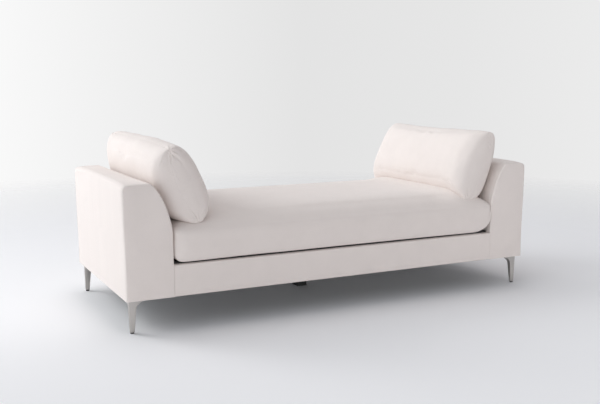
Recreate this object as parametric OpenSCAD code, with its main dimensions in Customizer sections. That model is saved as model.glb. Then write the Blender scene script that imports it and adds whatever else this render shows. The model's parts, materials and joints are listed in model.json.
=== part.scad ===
// Backless divan: two upholstered arms on bracket legs, a sprung seat frame between them,
// a loose bench cushion and two loose pillows. X runs along the length, Y to the back, Z up,
// with the origin on the floor under the middle of the divan.

/* [Overall] */
// Length over the outer faces of the arms
divan_length = 2172; // [1900:1:2500]
// Depth from the front face to the back face
divan_depth = 938; // [800:1:1100]
// Height of the frame's underside above the floor
leg_height = 152; // [120:1:200]

/* [Arms] */
// Height of the arms' flat tops above the floor
arm_height = 660; // [620:1:760]
// Thickness of an arm at its base
arm_base = 214; // [190:1:260]
// Run of the slope along X
slope_w = 100; // [70:1:120]
// Drop of the slope from the top of the arm to its straight inner face
slope_h = 230; // [160:1:260]
// Fullness of the slope, from a straight chamfer at 1 to an ellipse at 2
slope_power = 1.5; // [1.2:0.05:2]
// Radius of the long outer edge at the top
arm_edge_radius = 22; // [20:1:30]
// Radius of the soft edges round the front and back faces
arm_face_radius = 10; // [8:1:14]
// Thickness of the upholstery cloth with its backing
cover_t = 4; // [2.5:0.5:5]
// Thickness of the foam padding on the arms
pad_t = 12; // [8:1:20]
// Thickness of the shaped boards at the front and back of an arm
board_t = 18; // [12:1:25]
// Thickness of the arm's thin side panels
panel_t = 3; // [2:0.5:6]

/* [Frame] */
// Height of the upholstered rails
rail_face = 143; // [120:1:170]
// Thickness of the wooden rails
rail_t = 22; // [18:1:30]
// Height of the stretchers under the springs
stretcher_h = 70; // [40:1:90]
// Width of the middle stretcher
centre_stretcher_w = 60; // [50:1:90]
// Width of the two side stretchers
side_stretcher_w = 45; // [30:1:60]
// Distance of the side stretchers from the middle
side_stretcher_x = 580; // [400:1:650]
// Height of the end rails, which the arms are bolted to
end_rail_h = 112; // [90:1:116]
// Height of the base rails inside the arms
base_rail_h = 90; // [85:1:120]
// Width of the top rail inside an arm
top_rail_w = 70; // [40:1:72]
// Size of the square corner blocks above the legs, along Y
corner_block_l = 100; // [95:1:140]
// Height of the corner blocks
corner_block_h = 40; // [30:1:60]
// Thickness of the dust cover
dust_t = 1; // [0.6:0.1:2]
// Distance of the dust cover's edge from the outer faces
dust_inset = 8; // [7:1:20]

/* [Suspension] */
// Number of springs
spring_count = 12; // [8:1:14]
// Thickness of the spring wire
spring_wire = 4; // [3:0.5:5]
// Width of a spring's loops
spring_w = 50; // [40:1:60]
// Number of loops in a spring
spring_loops = 20; // [12:2:24]
// Length of a spring clip along the rail
clip_l = 16; // [10:1:24]
// Depth of a spring clip
clip_d = 10; // [8:1:12]
// Diameter of the tie wires over the springs
tie_d = 3; // [2:0.5:4]
// Distance of the tie wires from the middle
tie_y = 150; // [100:1:250]
// Thickness of the insulator felt
felt_t = 3; // [2:0.5:5]
// Thickness of the deck pad
deck_pad_t = 18; // [12:1:20]
// Thickness of the deck cloth
deck_cloth_t = 2; // [1:0.5:3]
// Height of the deck cloth's skirt
deck_skirt_h = 14; // [11:1:18]
// Distance of the deck from the front and back faces
deck_inset = 30; // [28:1:40]
// Gap between the deck and each arm
deck_end_gap = 1.5; // [1:0.5:4]

/* [Seat cushion] */
// Height of the shadow gap between the rail and the cushion
seat_gap = 10; // [6:1:20]
// Height of the cushion's sides up to the rounded top edge
seat_side_h = 160; // [120:1:190]
// Rise of the crown above the top edge
seat_crown = 53; // [20:1:65]
// Gap between the cushion and each arm
seat_end_gap = 2; // [1:0.5:6]
// Setback of the cushion from the front and back faces
seat_setback = 1; // [0:0.5:10]
// Radius of the rounded bottom edge
seat_bottom_radius = 14; // [8:1:24]
// Radius of the rounded top edge
seat_top_radius = 28; // [15:1:45]
// Radius of the corners in plan
seat_corner_radius = 26; // [20:1:50]
// Bulge of the sides between their top and bottom edges
seat_bulge = 4; // [1:0.5:8]
// How far the long sides are drawn in between the corners
seat_draw = 5; // [0:0.5:12]
// Thickness of wrap and cloth round the foam core, at the sides
seat_wrap = 55; // [45:1:80]
// Thickness of wrap and cloth under and over the foam core
seat_skin = 12; // [8:1:20]

/* [Pillows] */
// Length of a pillow along Y
pillow_length = 898; // [760:1:920]
// Height of a pillow
pillow_height = 400; // [330:1:440]
// Thickness of a pillow near its ends
pillow_thickness = 222; // [170:1:240]
// Lean of a pillow towards its arm, in degrees
pillow_lean = 22; // [14:1:26]
// Distance of a pillow's middle from the arm's straight inner face
pillow_reach = 57; // [55:1:90]
// Height of a pillow's middle above the cushion's top edge
pillow_rise = 184; // [165:1:205]
// Crown of a pillow's faces at mid-length
pillow_crown = 4; // [0:1:15]
// How far the top and bottom are drawn in between the ends
pillow_draw = 13; // [0:1:20]
// Squareness of a pillow's end outline, from an ellipse at 2
pillow_power = 2.7; // [2.2:0.1:4]
// Length of the rounding at a pillow's ends
pillow_end_l = 110; // [60:1:140]

/* [Legs] */
// Distance of a leg from the arm's outer face
leg_side_inset = 14; // [10:1:30]
// Distance of a leg from the front or back face
leg_front_inset = 29; // [20:1:36]
// Width of a leg's top plate along X
leg_plate_x = 95; // [80:1:110]
// Depth of a leg's top plate along Y
leg_plate_y = 80; // [70:1:95]
// Thickness of the top plate at its edge
leg_plate_t = 3; // [2:0.5:5]
// Height of the flare under the plate
leg_flare_h = 43; // [25:1:60]
// Width of a leg below the flare
leg_neck_x = 32; // [26:1:40]
// Depth of a leg below the flare
leg_neck_y = 24; // [18:1:30]
// Width of a leg at its foot
leg_foot_x = 20; // [16:1:26]
// Depth of a leg at its foot
leg_foot_y = 13; // [11:1:18]
// Lean of the outer faces over the leg's height
leg_lean = 3; // [0:0.5:8]
// Height of the glide under the metal
glide_h = 6; // [4:1:12]
// Setback of the glide from the metal
glide_inset = 2; // [1:0.5:3]
// Width of the middle leg
centre_leg_x = 56; // [40:1:60]
// Depth of the middle leg
centre_leg_y = 70; // [40:1:90]
// Distance of the middle leg's axis behind the middle of the divan
centre_leg_back = 50; // [0:1:80]

/* [Fasteners] */
// Diameter of the leg screws
screw_d = 4.5; // [3:0.5:5]
// Length of the leg screws
screw_l = 28; // [20:1:36]
// Diameter of a leg screw's head
screw_head_d = 9; // [7:0.5:10]
// Height of a leg screw's head
screw_head_h = 2.5; // [1.5:0.5:4]
// Diameter of the bolts that hold the arms
bolt_d = 8; // [6:1:10]
// Width of a bolt's head and nut across their corners
bolt_head_d = 15; // [12:1:18]
// Height of a bolt's head and nut
bolt_head_h = 6; // [4:1:8]
// Distance of the arm bolts from the middle
arm_bolt_y = 250; // [150:1:300]
// Height of the arm bolts above the frame's underside
arm_bolt_z = 58; // [40:1:75]
// Depth of the middle leg's bolt in the leg and in the stretcher
leg_bolt_depth = 40; // [25:1:60]

/* [Zips] */
// Distance of the seat zip's ends from the cushion's ends
seat_zip_margin = 120; // [80:1:300]
// Distance of a pillow zip's ends from the pillow's ends
pillow_zip_margin = 149; // [130:1:200]
// Width of the zip tape
zip_tape_w = 18; // [14:1:24]
// Thickness of the zip tape
zip_tape_t = 1.2; // [0.8:0.1:2]
// Width of the closed teeth
zip_chain_w = 4; // [3:0.5:6]
// Height of the closed teeth
zip_chain_h = 1.6; // [1:0.1:2.5]
// Length of a slider
slider_l = 12; // [8:1:18]
// Width of a slider
slider_w = 9; // [8:0.5:12]
// Height of a slider
slider_h = 4; // [3:0.5:6]

/* [Fits] */
// Gap between upholstery layers that lie against each other
soft_gap = 0.3; // [0.2:0.05:0.6]
// Gap between a pillow and the arm's slope
pillow_arm_gap = 0.9; // [0.7:0.1:1.5]
// Gap between a pillow and the seat cushion's crown
pillow_seat_gap = 2.2; // [1.8:0.1:3]
// Gap round a screw or bolt in its hole
screw_gap = 0.2; // [0.1:0.05:0.4]

/* [Hidden] */
$fn = 48;

// Overrun of a cut past the face that it leaves
overrun = 5;
// Small radius of the rail covers' long edges
rail_edge_radius = 5;
// Steps of the arm's slope, of its outer edge and of its soft face edges
slope_steps = 12;
edge_steps = 4;
face_steps = 3;
// Steps of the cushion's outline: long sides, short sides and corners
long_steps = 22;
short_steps = 8;
corner_steps = 3;
// Steps of the cushion's rounded edges
rim_steps = 3;
// Rings of the cushion's crown, as shares of its outline
crown_shares = [0.96, 0.9, 0.82, 0.7, 0.52, 0.3];
// Fall of the crown towards the arms and towards the front and back
crown_end_power = 5;
crown_front_power = 8;
// Points round a pillow, its rings before the rounded ends, and rings of a rounded end
pillow_points = 32;
pillow_body_shares = [0, 0.35, 0.65, 0.87];
pillow_end_steps = 6;
// Thickness and height that are left at a pillow's end seam, as shares
pillow_end_share = 0.22;
pillow_ear_share = 0.965;
// How much thicker a pillow is at its foot than at its middle, as a share
pillow_foot_share = 0.08;
// Share of a pillow's girth and length that its fill takes
fill_share = 0.6;
fill_length_share = 0.8;
// Places of the screws on a leg's plate, as shares of its width and depth
screw_shares = [[0.86, 0.3], [0.86, 0.8], [0.45, 0.85]];

half_length = divan_length / 2;
half_depth = divan_depth / 2;
inner_half = half_length - arm_base;
frame_bottom = leg_height;
rail_top = leg_height + rail_face;

// Slope of the arm, measured from the arm's outer face and from the floor
slope_x = arm_base - slope_w;
slope_z = arm_height - slope_h;

// Layers from the outside of an arm inwards
pad_inset = cover_t + soft_gap;
board_inset = pad_inset + pad_t + soft_gap;
board_inner_y = half_depth - board_inset - board_t;
rail_start = board_inset + panel_t;

// Wood of the front and back rails
rail_outer_y = half_depth - cover_t - soft_gap;
rail_inner_y = rail_outer_y - rail_t;
rail_wood_bottom = frame_bottom + cover_t + soft_gap;
rail_wood_top = rail_top - cover_t - soft_gap;
end_rail_x = inner_half - soft_gap;

// Heights of the deck's layers, from the cushion down
seat_bottom = rail_top + seat_gap;
deck_top = seat_bottom - soft_gap;
deck_pad_top = deck_top - deck_cloth_t - soft_gap;
deck_pad_bottom = deck_pad_top - deck_pad_t;
felt_top = deck_pad_bottom - soft_gap;
tie_top = felt_top - felt_t - soft_gap;
spring_top = tie_top - tie_d - soft_gap;
deck_x = inner_half - deck_end_gap;
deck_y = half_depth - deck_inset;

// Seat cushion
seat_x = inner_half - seat_end_gap;
seat_y = half_depth - seat_setback;
seat_edge = seat_bottom + seat_side_h;
crown_x = seat_x - seat_bulge - seat_top_radius;
crown_y = seat_y - seat_bulge - seat_top_radius;

// Pillow, for the left arm: its middle on the X and Z axes
pillow_x = -inner_half + pillow_reach;
pillow_z = seat_edge + pillow_rise;

// Zips
zip_pocket = zip_tape_t + soft_gap + slider_h + soft_gap;
seat_zip_y = seat_y - seat_bulge - seat_draw - zip_pocket;
seat_zip_z = seat_bottom + seat_side_h / 2;
zip_stop = slider_l;
seat_zip_l = 2 * (seat_x - seat_zip_margin);
pillow_zip_l = pillow_length - 2 * pillow_zip_margin;
// Depth of a pillow's zip in its underside, and its place on the pillow's height
pillow_zip_bed = zip_pocket + zip_tape_t;
pillow_middle = [pillow_x, 0, pillow_z];
pillow_zip_v = pillow_zip_bed
    - norm(pulled(pillow_middle, pillow_point(0, 0, pillow_draw - pillow_height / 2)) - pillow_middle);

// Legs
leg_top = leg_height - dust_t;
flare_z = leg_top - leg_flare_h;

wood = [0.78, 0.64, 0.45];
ply = [0.82, 0.70, 0.52];
cloth = [0.90, 0.87, 0.83];
foam = [0.93, 0.88, 0.66];
steel = [0.62, 0.60, 0.58];
leg_metal = [0.60, 0.57, 0.55];
black = [0.08, 0.08, 0.08];
felt = [0.45, 0.45, 0.45];

// Placing: an arm's pieces are drawn from the outer face inwards
module left_side() translate([-half_length, 0, 0]) children();
module right_side() mirror([1, 0, 0]) left_side() children();
module both_ends() for (s = [0, 1]) mirror([s, 0, 0]) children();
module all_corners() for (s = [0, 1]) mirror([0, s, 0]) both_ends() children();

// Extrudes an XZ outline along Y, and a YZ outline along X
module along_y(y0, y1) translate([0, y1, 0]) rotate([90, 0, 0]) linear_extrude(y1 - y0) children();
module along_x(x0, x1) translate([x0, 0, 0]) rotate([90, 0, 90]) linear_extrude(x1 - x0) children();
// A box from its two opposite corners
module box(low, high) translate(low) cube(high - low);

// The arm's slope at an inset from its face, from the top down
function arm_slope(inset) = [
    for (k = [0:slope_steps]) let (a = 90 - 90 * k / slope_steps) [
        slope_x + (slope_w - inset) * pow(cos(a), 2 / slope_power),
        slope_z + (slope_h - inset) * pow(sin(a), 2 / slope_power)
    ]
];
// The arm's outline at an inset, with the rounded outer edge
function arm_outline(inset) = concat(
    [[inset, frame_bottom]],
    [for (k = [0:edge_steps]) let (a = 180 - 90 * k / edge_steps) [
        arm_edge_radius + (arm_edge_radius - inset) * cos(a),
        arm_height - arm_edge_radius + (arm_edge_radius - inset) * sin(a)
    ]],
    arm_slope(inset),
    [[arm_base - inset, frame_bottom]]
);
// The same outline with a square outer edge
function board_outline(inset) = concat(
    [[inset, frame_bottom], [inset, arm_height - inset]],
    arm_slope(inset),
    [[arm_base - inset, frame_bottom]]
);

// Triangles of a closed loft through rings of n points, with a middle point at each end
function loft_faces(rings, n) = concat(
    [for (j = [0:rings - 2], i = [0:n - 1], half = [0, 1])
        let (a = j * n + i, b = a + n, d = j * n + (i + 1) % n, c = d + n)
        half == 0 ? [a, b, c] : [a, c, d]],
    [for (i = [0:n - 1]) [rings * n, i, (i + 1) % n]],
    [for (i = [0:n - 1]) let (a = (rings - 1) * n) [rings * n + 1, a + (i + 1) % n, a + i]]
);
function mean_point(points) = [for (axis = [0:2]) [for (p = points) p[axis]] * [for (p = points) 1]]
    / len(points);
module loft(rings) {
    n = len(rings[0]);
    points = [for (ring = rings, p = ring) p];
    ends = [mean_point(rings[0]), mean_point(rings[len(rings) - 1])];
    polyhedron(concat(points, ends), loft_faces(len(rings), n));
}

// Frame of the seat
module rail_wood() box([-end_rail_x, -rail_outer_y, rail_wood_bottom],
    [end_rail_x, -rail_inner_y, rail_wood_top]);
module front_rail() color(wood) rail_wood();
module back_rail() color(wood) mirror([0, 1, 0]) rail_wood();
// The bolts that hold one arm, as seen from the left arm
module arm_bolt_axes() for (y = [-arm_bolt_y, arm_bolt_y])
    translate([0, y, frame_bottom + arm_bolt_z]) rotate([0, 90, 0]) children();
module arm_bolt_holes(x0, x1) translate([x0, 0, 0]) arm_bolt_axes()
    cylinder(d = bolt_d + 2 * screw_gap, h = x1 - x0);
module end_rail() difference() {
    box([-end_rail_x, -rail_inner_y, frame_bottom],
        [-end_rail_x + rail_t, rail_inner_y, frame_bottom + end_rail_h]);
    arm_bolt_holes(-end_rail_x - overrun, -end_rail_x + rail_t + overrun);
}
module left_end_rail() color(wood) end_rail();
module right_end_rail() color(wood) mirror([1, 0, 0]) end_rail();
module stretcher(w) box([-w / 2, -rail_inner_y, frame_bottom],
    [w / 2, rail_inner_y, frame_bottom + stretcher_h]);
module centre_stretcher() color(wood) difference() {
    stretcher(centre_stretcher_w);
    translate([0, centre_leg_back, frame_bottom - overrun])
        cylinder(d = bolt_d + 2 * screw_gap, h = leg_bolt_depth + soft_gap + overrun);
}
module side_stretchers() color(wood) both_ends() translate([side_stretcher_x, 0, 0])
    stretcher(side_stretcher_w);
// Places of the screws in the front left leg's plate
module leg_origin() translate([-half_length + leg_side_inset, -half_depth + leg_front_inset, 0])
    children();
module leg_screw_axes() leg_origin() for (s = screw_shares)
    translate([s[0] * leg_plate_x, s[1] * leg_plate_y, 0]) children();
module leg_screw_holes(z0, z1) leg_screw_axes() translate([0, 0, z0])
    cylinder(d = screw_d + 2 * screw_gap, h = z1 - z0);
module corner_blocks() color(wood) all_corners() difference() {
    box([-half_length + rail_start + rail_t, -board_inner_y, frame_bottom],
        [-half_length + arm_base - rail_start - rail_t, -board_inner_y + corner_block_l,
        frame_bottom + corner_block_h]);
    leg_screw_holes(frame_bottom - overrun, frame_bottom + corner_block_h + overrun);
}
// Bolts and nuts that join an arm's inner base rail to the seat frame's end rail
bolt_start = -half_length + arm_base - rail_start - rail_t;
bolt_end = -end_rail_x + rail_t;
module arm_bolts() color(steel) both_ends() {
    translate([bolt_start - bolt_head_h, 0, 0]) arm_bolt_axes()
        cylinder(d = bolt_head_d, h = bolt_head_h, $fn = 6);
    translate([bolt_start, 0, 0]) arm_bolt_axes()
        cylinder(d = bolt_d, h = bolt_end - bolt_start + bolt_head_h + soft_gap);
    translate([bolt_end, 0, 0]) arm_bolt_axes() difference() {
        cylinder(d = bolt_head_d, h = bolt_head_h, $fn = 6);
        translate([0, 0, -overrun]) cylinder(d = bolt_d + 2 * screw_gap, h = bolt_head_h + 2 * overrun);
    }
}

// Arm frame
module arm_board() along_y(-half_depth + board_inset, -board_inner_y)
    polygon(board_outline(board_inset));
module arm_top_rail() box([rail_start, -board_inner_y, arm_height - board_inset - rail_t],
    [rail_start + top_rail_w, board_inner_y, arm_height - board_inset]);
module arm_outer_base_rail() box([rail_start, -board_inner_y, frame_bottom],
    [rail_start + rail_t, board_inner_y, frame_bottom + base_rail_h]);
module arm_inner_base_rail() difference() {
    box([arm_base - rail_start - rail_t, -board_inner_y, frame_bottom],
        [arm_base - rail_start, board_inner_y, frame_bottom + base_rail_h]);
    arm_bolt_holes(arm_base - rail_start - rail_t - overrun, arm_base);
}
module arm_outer_panel() box([board_inset, -board_inner_y, frame_bottom],
    [rail_start, board_inner_y, arm_height - board_inset]);
// Thin board behind the slope and the inner face
module arm_inner_panel() difference() {
    along_y(-board_inner_y, board_inner_y) polygon(concat(
        [for (p = arm_slope(board_inset)) if (p[0] > slope_x) p],
        [[arm_base - board_inset, frame_bottom], [arm_base - rail_start, frame_bottom]],
        [for (k = [slope_steps:-1:1]) arm_slope(rail_start)[k]]
    ));
    arm_bolt_holes(arm_base - rail_start - overrun, arm_base);
}
module arm_padding() difference() {
    along_y(-half_depth + pad_inset, half_depth - pad_inset) polygon(arm_outline(pad_inset));
    translate([0, 0, -overrun]) along_y(-half_depth + board_inset - soft_gap,
        half_depth - board_inset + soft_gap) polygon(padding_void());
    arm_bolt_holes(arm_base - rail_start, arm_base);
}
// The padding's hollow, with its foot carried down past the open underside
function padding_void() = let (inset = board_inset - soft_gap, o = board_outline(inset)) concat(
    [[inset, frame_bottom]], [[inset, arm_height - inset + overrun]],
    [for (p = arm_slope(inset)) [p[0], p[1] + overrun]],
    [[arm_base - inset, frame_bottom]]
);
// Rings of the cover's outline, drawn in round the front face and the back face
function cover_ring(inset, y) = [for (p = arm_outline(inset)) [p[0], y, p[1]]];
function cover_rings() = concat(
    [for (k = [0:face_steps]) let (a = 90 * k / face_steps)
        cover_ring(arm_face_radius * (1 - sin(a)), -half_depth + arm_face_radius * (1 - cos(a)))],
    [for (k = [face_steps:-1:0]) let (a = 90 * k / face_steps)
        cover_ring(arm_face_radius * (1 - sin(a)), half_depth - arm_face_radius * (1 - cos(a)))]
);
module arm_cover() difference() {
    loft(cover_rings());
    translate([0, 0, -overrun]) along_y(-half_depth + cover_t, half_depth - cover_t)
        polygon(cover_void());
    arm_bolt_holes(arm_base - rail_start, arm_base + overrun);
}
function cover_void() = concat(
    [[cover_t, frame_bottom]],
    [for (k = [0:edge_steps]) let (a = 180 - 90 * k / edge_steps) [
        arm_edge_radius + (arm_edge_radius - cover_t) * cos(a),
        arm_height - arm_edge_radius + (arm_edge_radius - cover_t) * sin(a) + overrun
    ]],
    [for (p = arm_slope(cover_t)) [p[0], p[1] + overrun]],
    [[arm_base - cover_t, frame_bottom]]
);

module left_arm_front_board() color(ply) left_side() arm_board();
module left_arm_back_board() color(ply) left_side() mirror([0, 1, 0]) arm_board();
module left_arm_top_rail() color(wood) left_side() arm_top_rail();
module left_arm_outer_base_rail() color(wood) left_side() arm_outer_base_rail();
module left_arm_inner_base_rail() color(wood) left_side() arm_inner_base_rail();
module left_arm_outer_panel() color(ply) left_side() arm_outer_panel();
module left_arm_inner_panel() color(ply) left_side() arm_inner_panel();
module left_arm_padding() color(foam) left_side() arm_padding();
module left_arm_cover() color(cloth) left_side() arm_cover();
module right_arm_front_board() color(ply) right_side() arm_board();
module right_arm_back_board() color(ply) right_side() mirror([0, 1, 0]) arm_board();
module right_arm_top_rail() color(wood) right_side() arm_top_rail();
module right_arm_outer_base_rail() color(wood) right_side() arm_outer_base_rail();
module right_arm_inner_base_rail() color(wood) right_side() arm_inner_base_rail();
module right_arm_outer_panel() color(ply) right_side() arm_outer_panel();
module right_arm_inner_panel() color(ply) right_side() arm_inner_panel();
module right_arm_padding() color(foam) right_side() arm_padding();
module right_arm_cover() color(cloth) right_side() arm_cover();

// Suspension and deck
function unit(v) = v / norm(v);
function left_of(v) = [-v[1], v[0]];
// Points beside a square-cornered path, at a distance to its left
function beside(path, d) = [
    for (i = [0:len(path) - 1]) let (
        before = i > 0 ? left_of(unit(path[i] - path[i - 1])) : [0, 0],
        after = i < len(path) - 1 ? left_of(unit(path[i + 1] - path[i])) : [0, 0]
    ) path[i] + d * (before + after)
];
// Half the run of a spring between its two end bars
spring_half = rail_inner_y - clip_d / 2;
spring_pitch = 2 * spring_half / (spring_loops + 1);
function spring_path() = [
    for (k = [0:spring_loops + 1], end = [0, 1])
        let (side = (k + end) % 2 == 0 ? -1 : 1)
        [side * spring_w / 2, -spring_half + k * spring_pitch]
];
function spring_x(i) = (inner_half - 2 * spring_w) * (2 * i / (spring_count - 1) - 1);
module spring() translate([0, 0, spring_top - spring_wire]) linear_extrude(spring_wire)
    polygon(concat(beside(spring_path(), spring_wire / 2),
        [for (k = [2 * spring_loops + 3:-1:0]) beside(spring_path(), -spring_wire / 2)[k]]));
module seat_springs() color(steel) for (i = [0:spring_count - 1]) translate([spring_x(i), 0, 0])
    spring();
clip_wall = (clip_d - spring_wire - 2 * soft_gap) / 2;
// A clip on the front rail, whose slot holds the end bar of a spring
module clip() translate([-clip_l / 2, -rail_inner_y, spring_top - spring_wire - clip_wall - soft_gap])
    difference() {
        cube([clip_l, clip_d, spring_wire + 2 * (clip_wall + soft_gap)]);
        translate([-overrun, clip_wall, clip_wall])
            cube([clip_l + 2 * overrun, spring_wire + 2 * soft_gap, spring_wire + 2 * soft_gap]);
    }
module spring_clips() color(black) for (i = [0:spring_count - 1], s = [0, 1])
    translate([spring_x(i), 0, 0]) mirror([0, s, 0]) clip();
module tie_wires() color(steel) for (y = [-tie_y, tie_y])
    translate([-spring_x(spring_count - 1) - spring_w, y, tie_top - tie_d / 2]) rotate([0, 90, 0])
        cylinder(d = tie_d, h = 2 * (spring_x(spring_count - 1) + spring_w));
module insulator() color(felt) box([-deck_x + rail_t, -deck_y + deck_cloth_t, felt_top - felt_t],
    [deck_x - rail_t, deck_y - deck_cloth_t, felt_top]);
module deck_pad() color(foam) box(
    [-deck_x + deck_cloth_t + soft_gap, -deck_y + deck_cloth_t + soft_gap, deck_pad_bottom],
    [deck_x - deck_cloth_t - soft_gap, deck_y - deck_cloth_t - soft_gap, deck_pad_top]);
module deck_cover() color(felt) difference() {
    box([-deck_x, -deck_y, deck_top - deck_skirt_h], [deck_x, deck_y, deck_top]);
    box([-deck_x + deck_cloth_t, -deck_y + deck_cloth_t, deck_top - deck_skirt_h - overrun],
        [deck_x - deck_cloth_t, deck_y - deck_cloth_t, deck_top - deck_cloth_t]);
}

// Covers of the rails: a channel of cloth round the front, the top and the underside
function rail_corner(y, z, turn) = [
    for (k = [0:edge_steps]) let (a = turn - 90 * k / edge_steps)
        [y + rail_edge_radius * cos(a), z + rail_edge_radius * sin(a)]
];
module rail_cover() along_x(-inner_half + soft_gap, inner_half - soft_gap) polygon(concat(
    rail_corner(-half_depth + rail_edge_radius, frame_bottom + rail_edge_radius, 270),
    rail_corner(-half_depth + rail_edge_radius, rail_top - rail_edge_radius, 180),
    [
        [-rail_inner_y, rail_top], [-rail_inner_y, rail_top - cover_t],
        [-half_depth + cover_t, rail_top - cover_t],
        [-half_depth + cover_t, frame_bottom + cover_t],
        [-rail_inner_y, frame_bottom + cover_t], [-rail_inner_y, frame_bottom]
    ]
));
module front_rail_cover() color(cloth) rail_cover();
module back_rail_cover() color(cloth) mirror([0, 1, 0]) rail_cover();
module dust_cover() color(black) difference() {
    box([-half_length + dust_inset, -half_depth + dust_inset, frame_bottom - dust_t],
        [half_length - dust_inset, half_depth - dust_inset, frame_bottom]);
    all_corners() leg_screw_holes(frame_bottom - dust_t - overrun, frame_bottom + overrun);
    translate([0, centre_leg_back, frame_bottom - dust_t - overrun])
        cylinder(d = bolt_d + 2 * screw_gap, h = dust_t + 2 * overrun);
}

// Legs. An outline tapers from the neck to the foot and flares out to the plate above.
function leg_outline(plate, neck, foot) = concat(
    [[leg_lean, glide_h], [0, leg_top], [plate, leg_top]],
    [for (k = [0:slope_steps]) let (a = 90 - 90 * k / slope_steps) [
        plate - (plate - neck) * cos(a),
        flare_z + (leg_flare_h - leg_plate_t) * sin(a)
    ]],
    [[leg_lean + foot, glide_h]]
);
module leg() leg_origin() difference() {
    intersection() {
        along_y(-overrun, leg_plate_y + overrun)
            polygon(leg_outline(leg_plate_x, leg_neck_x, leg_foot_x));
        along_x(-overrun, leg_plate_x + overrun)
            polygon(leg_outline(leg_plate_y, leg_neck_y, leg_foot_y));
    }
    for (s = screw_shares) translate([s[0] * leg_plate_x, s[1] * leg_plate_y, 0]) {
        cylinder(d = screw_d + 2 * screw_gap, h = leg_top + overrun);
        cylinder(d = screw_head_d + 2 * screw_gap, h = leg_top - leg_plate_t);
    }
}
module front_left_leg() color(leg_metal) leg();
module front_right_leg() color(leg_metal) mirror([1, 0, 0]) leg();
module back_left_leg() color(leg_metal) mirror([0, 1, 0]) leg();
module back_right_leg() color(leg_metal) mirror([1, 0, 0]) mirror([0, 1, 0]) leg();
module leg_glides() color(black) all_corners() leg_origin() translate(
    [leg_lean + glide_inset, leg_lean + glide_inset, 0])
    cube([leg_foot_x - 2 * glide_inset, leg_foot_y - 2 * glide_inset, glide_h]);
module leg_screws() color(steel) all_corners() leg_screw_axes() {
    translate([0, 0, leg_top - leg_plate_t - screw_head_h])
        cylinder(d = screw_head_d, h = screw_head_h);
    translate([0, 0, leg_top - leg_plate_t]) cylinder(d = screw_d, h = screw_l);
}
module centre_leg() color(black) difference() {
    translate([-centre_leg_x / 2, centre_leg_back - centre_leg_y / 2, 0])
        cube([centre_leg_x, centre_leg_y, leg_top]);
    translate([0, centre_leg_back, leg_top - leg_bolt_depth - soft_gap])
        cylinder(d = bolt_d + 2 * screw_gap, h = leg_bolt_depth + soft_gap + overrun);
}
module centre_leg_bolt() color(steel) translate([0, centre_leg_back, leg_top - leg_bolt_depth])
    cylinder(d = bolt_d, h = 2 * leg_bolt_depth + dust_t);

// Seat cushion
// One corner of an outline in plan, without its two ends
function plan_corner(x, y, r, start) = [
    for (k = [1:corner_steps - 1]) let (a = start + 90 * k / corner_steps)
        [x + r * cos(a), y + r * sin(a)]
];
// A rectangle in plan, seen from above and anticlockwise, with its sides drawn in
function plan(x, y, r, draw) = concat(
    [for (k = [0:long_steps]) let (t = 2 * k / long_steps - 1)
        [t * (x - r), -y + draw * (1 - t * t)]],
    plan_corner(x - r, -y + r, r, -90),
    [for (k = [0:short_steps]) let (t = 2 * k / short_steps - 1)
        [x - draw * (1 - t * t), t * (y - r)]],
    plan_corner(x - r, y - r, r, 0),
    [for (k = [0:long_steps]) let (t = 1 - 2 * k / long_steps)
        [t * (x - r), y - draw * (1 - t * t)]],
    plan_corner(-x + r, y - r, r, 90),
    [for (k = [0:short_steps]) let (t = 1 - 2 * k / short_steps)
        [-x + draw * (1 - t * t), t * (y - r)]],
    plan_corner(-x + r, -y + r, r, 180)
);
// Height of the seat at a point of its crown
function seat_top(x, y) = seat_edge + seat_crown
    * (1 - pow(min(1, abs(x) / crown_x), crown_end_power))
    * (1 - pow(min(1, abs(y) / crown_y), crown_front_power));
function seat_ring(inset, z) = [
    for (p = plan(seat_x - inset, seat_y - inset, seat_corner_radius, seat_draw)) [p[0], p[1], z]
];
function seat_rings() = concat(
    [for (k = [0:rim_steps]) let (a = 90 * k / rim_steps) seat_ring(
        seat_bulge + seat_bottom_radius * (1 - sin(a)),
        seat_bottom + seat_bottom_radius * (1 - cos(a)))],
    [seat_ring(0, (seat_bottom + seat_edge) / 2)],
    [for (k = [0:rim_steps]) let (a = 90 * k / rim_steps) seat_ring(
        seat_bulge + seat_top_radius * (1 - cos(a)),
        seat_edge - seat_top_radius * (1 - sin(a)))],
    [for (s = crown_shares) [
        for (p = plan(crown_x, crown_y, seat_corner_radius, seat_draw))
            [s * p[0], s * p[1], seat_top(s * p[0], s * p[1])]
    ]]
);
seat_core_low = [-seat_x + seat_wrap, -seat_y + seat_wrap, seat_bottom + seat_skin];
seat_core_high = [seat_x - seat_wrap, seat_y - seat_wrap, seat_edge - seat_skin];
gap_all_round = [soft_gap, soft_gap, soft_gap];
module seat_cover() color(cloth) difference() {
    loft(seat_rings());
    box(seat_core_low, seat_core_high);
    seat_zip_frame() zip_pocket_cut(seat_zip_l);
}
module seat_core() color(foam) box(seat_core_low + gap_all_round, seat_core_high - gap_all_round);

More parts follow.
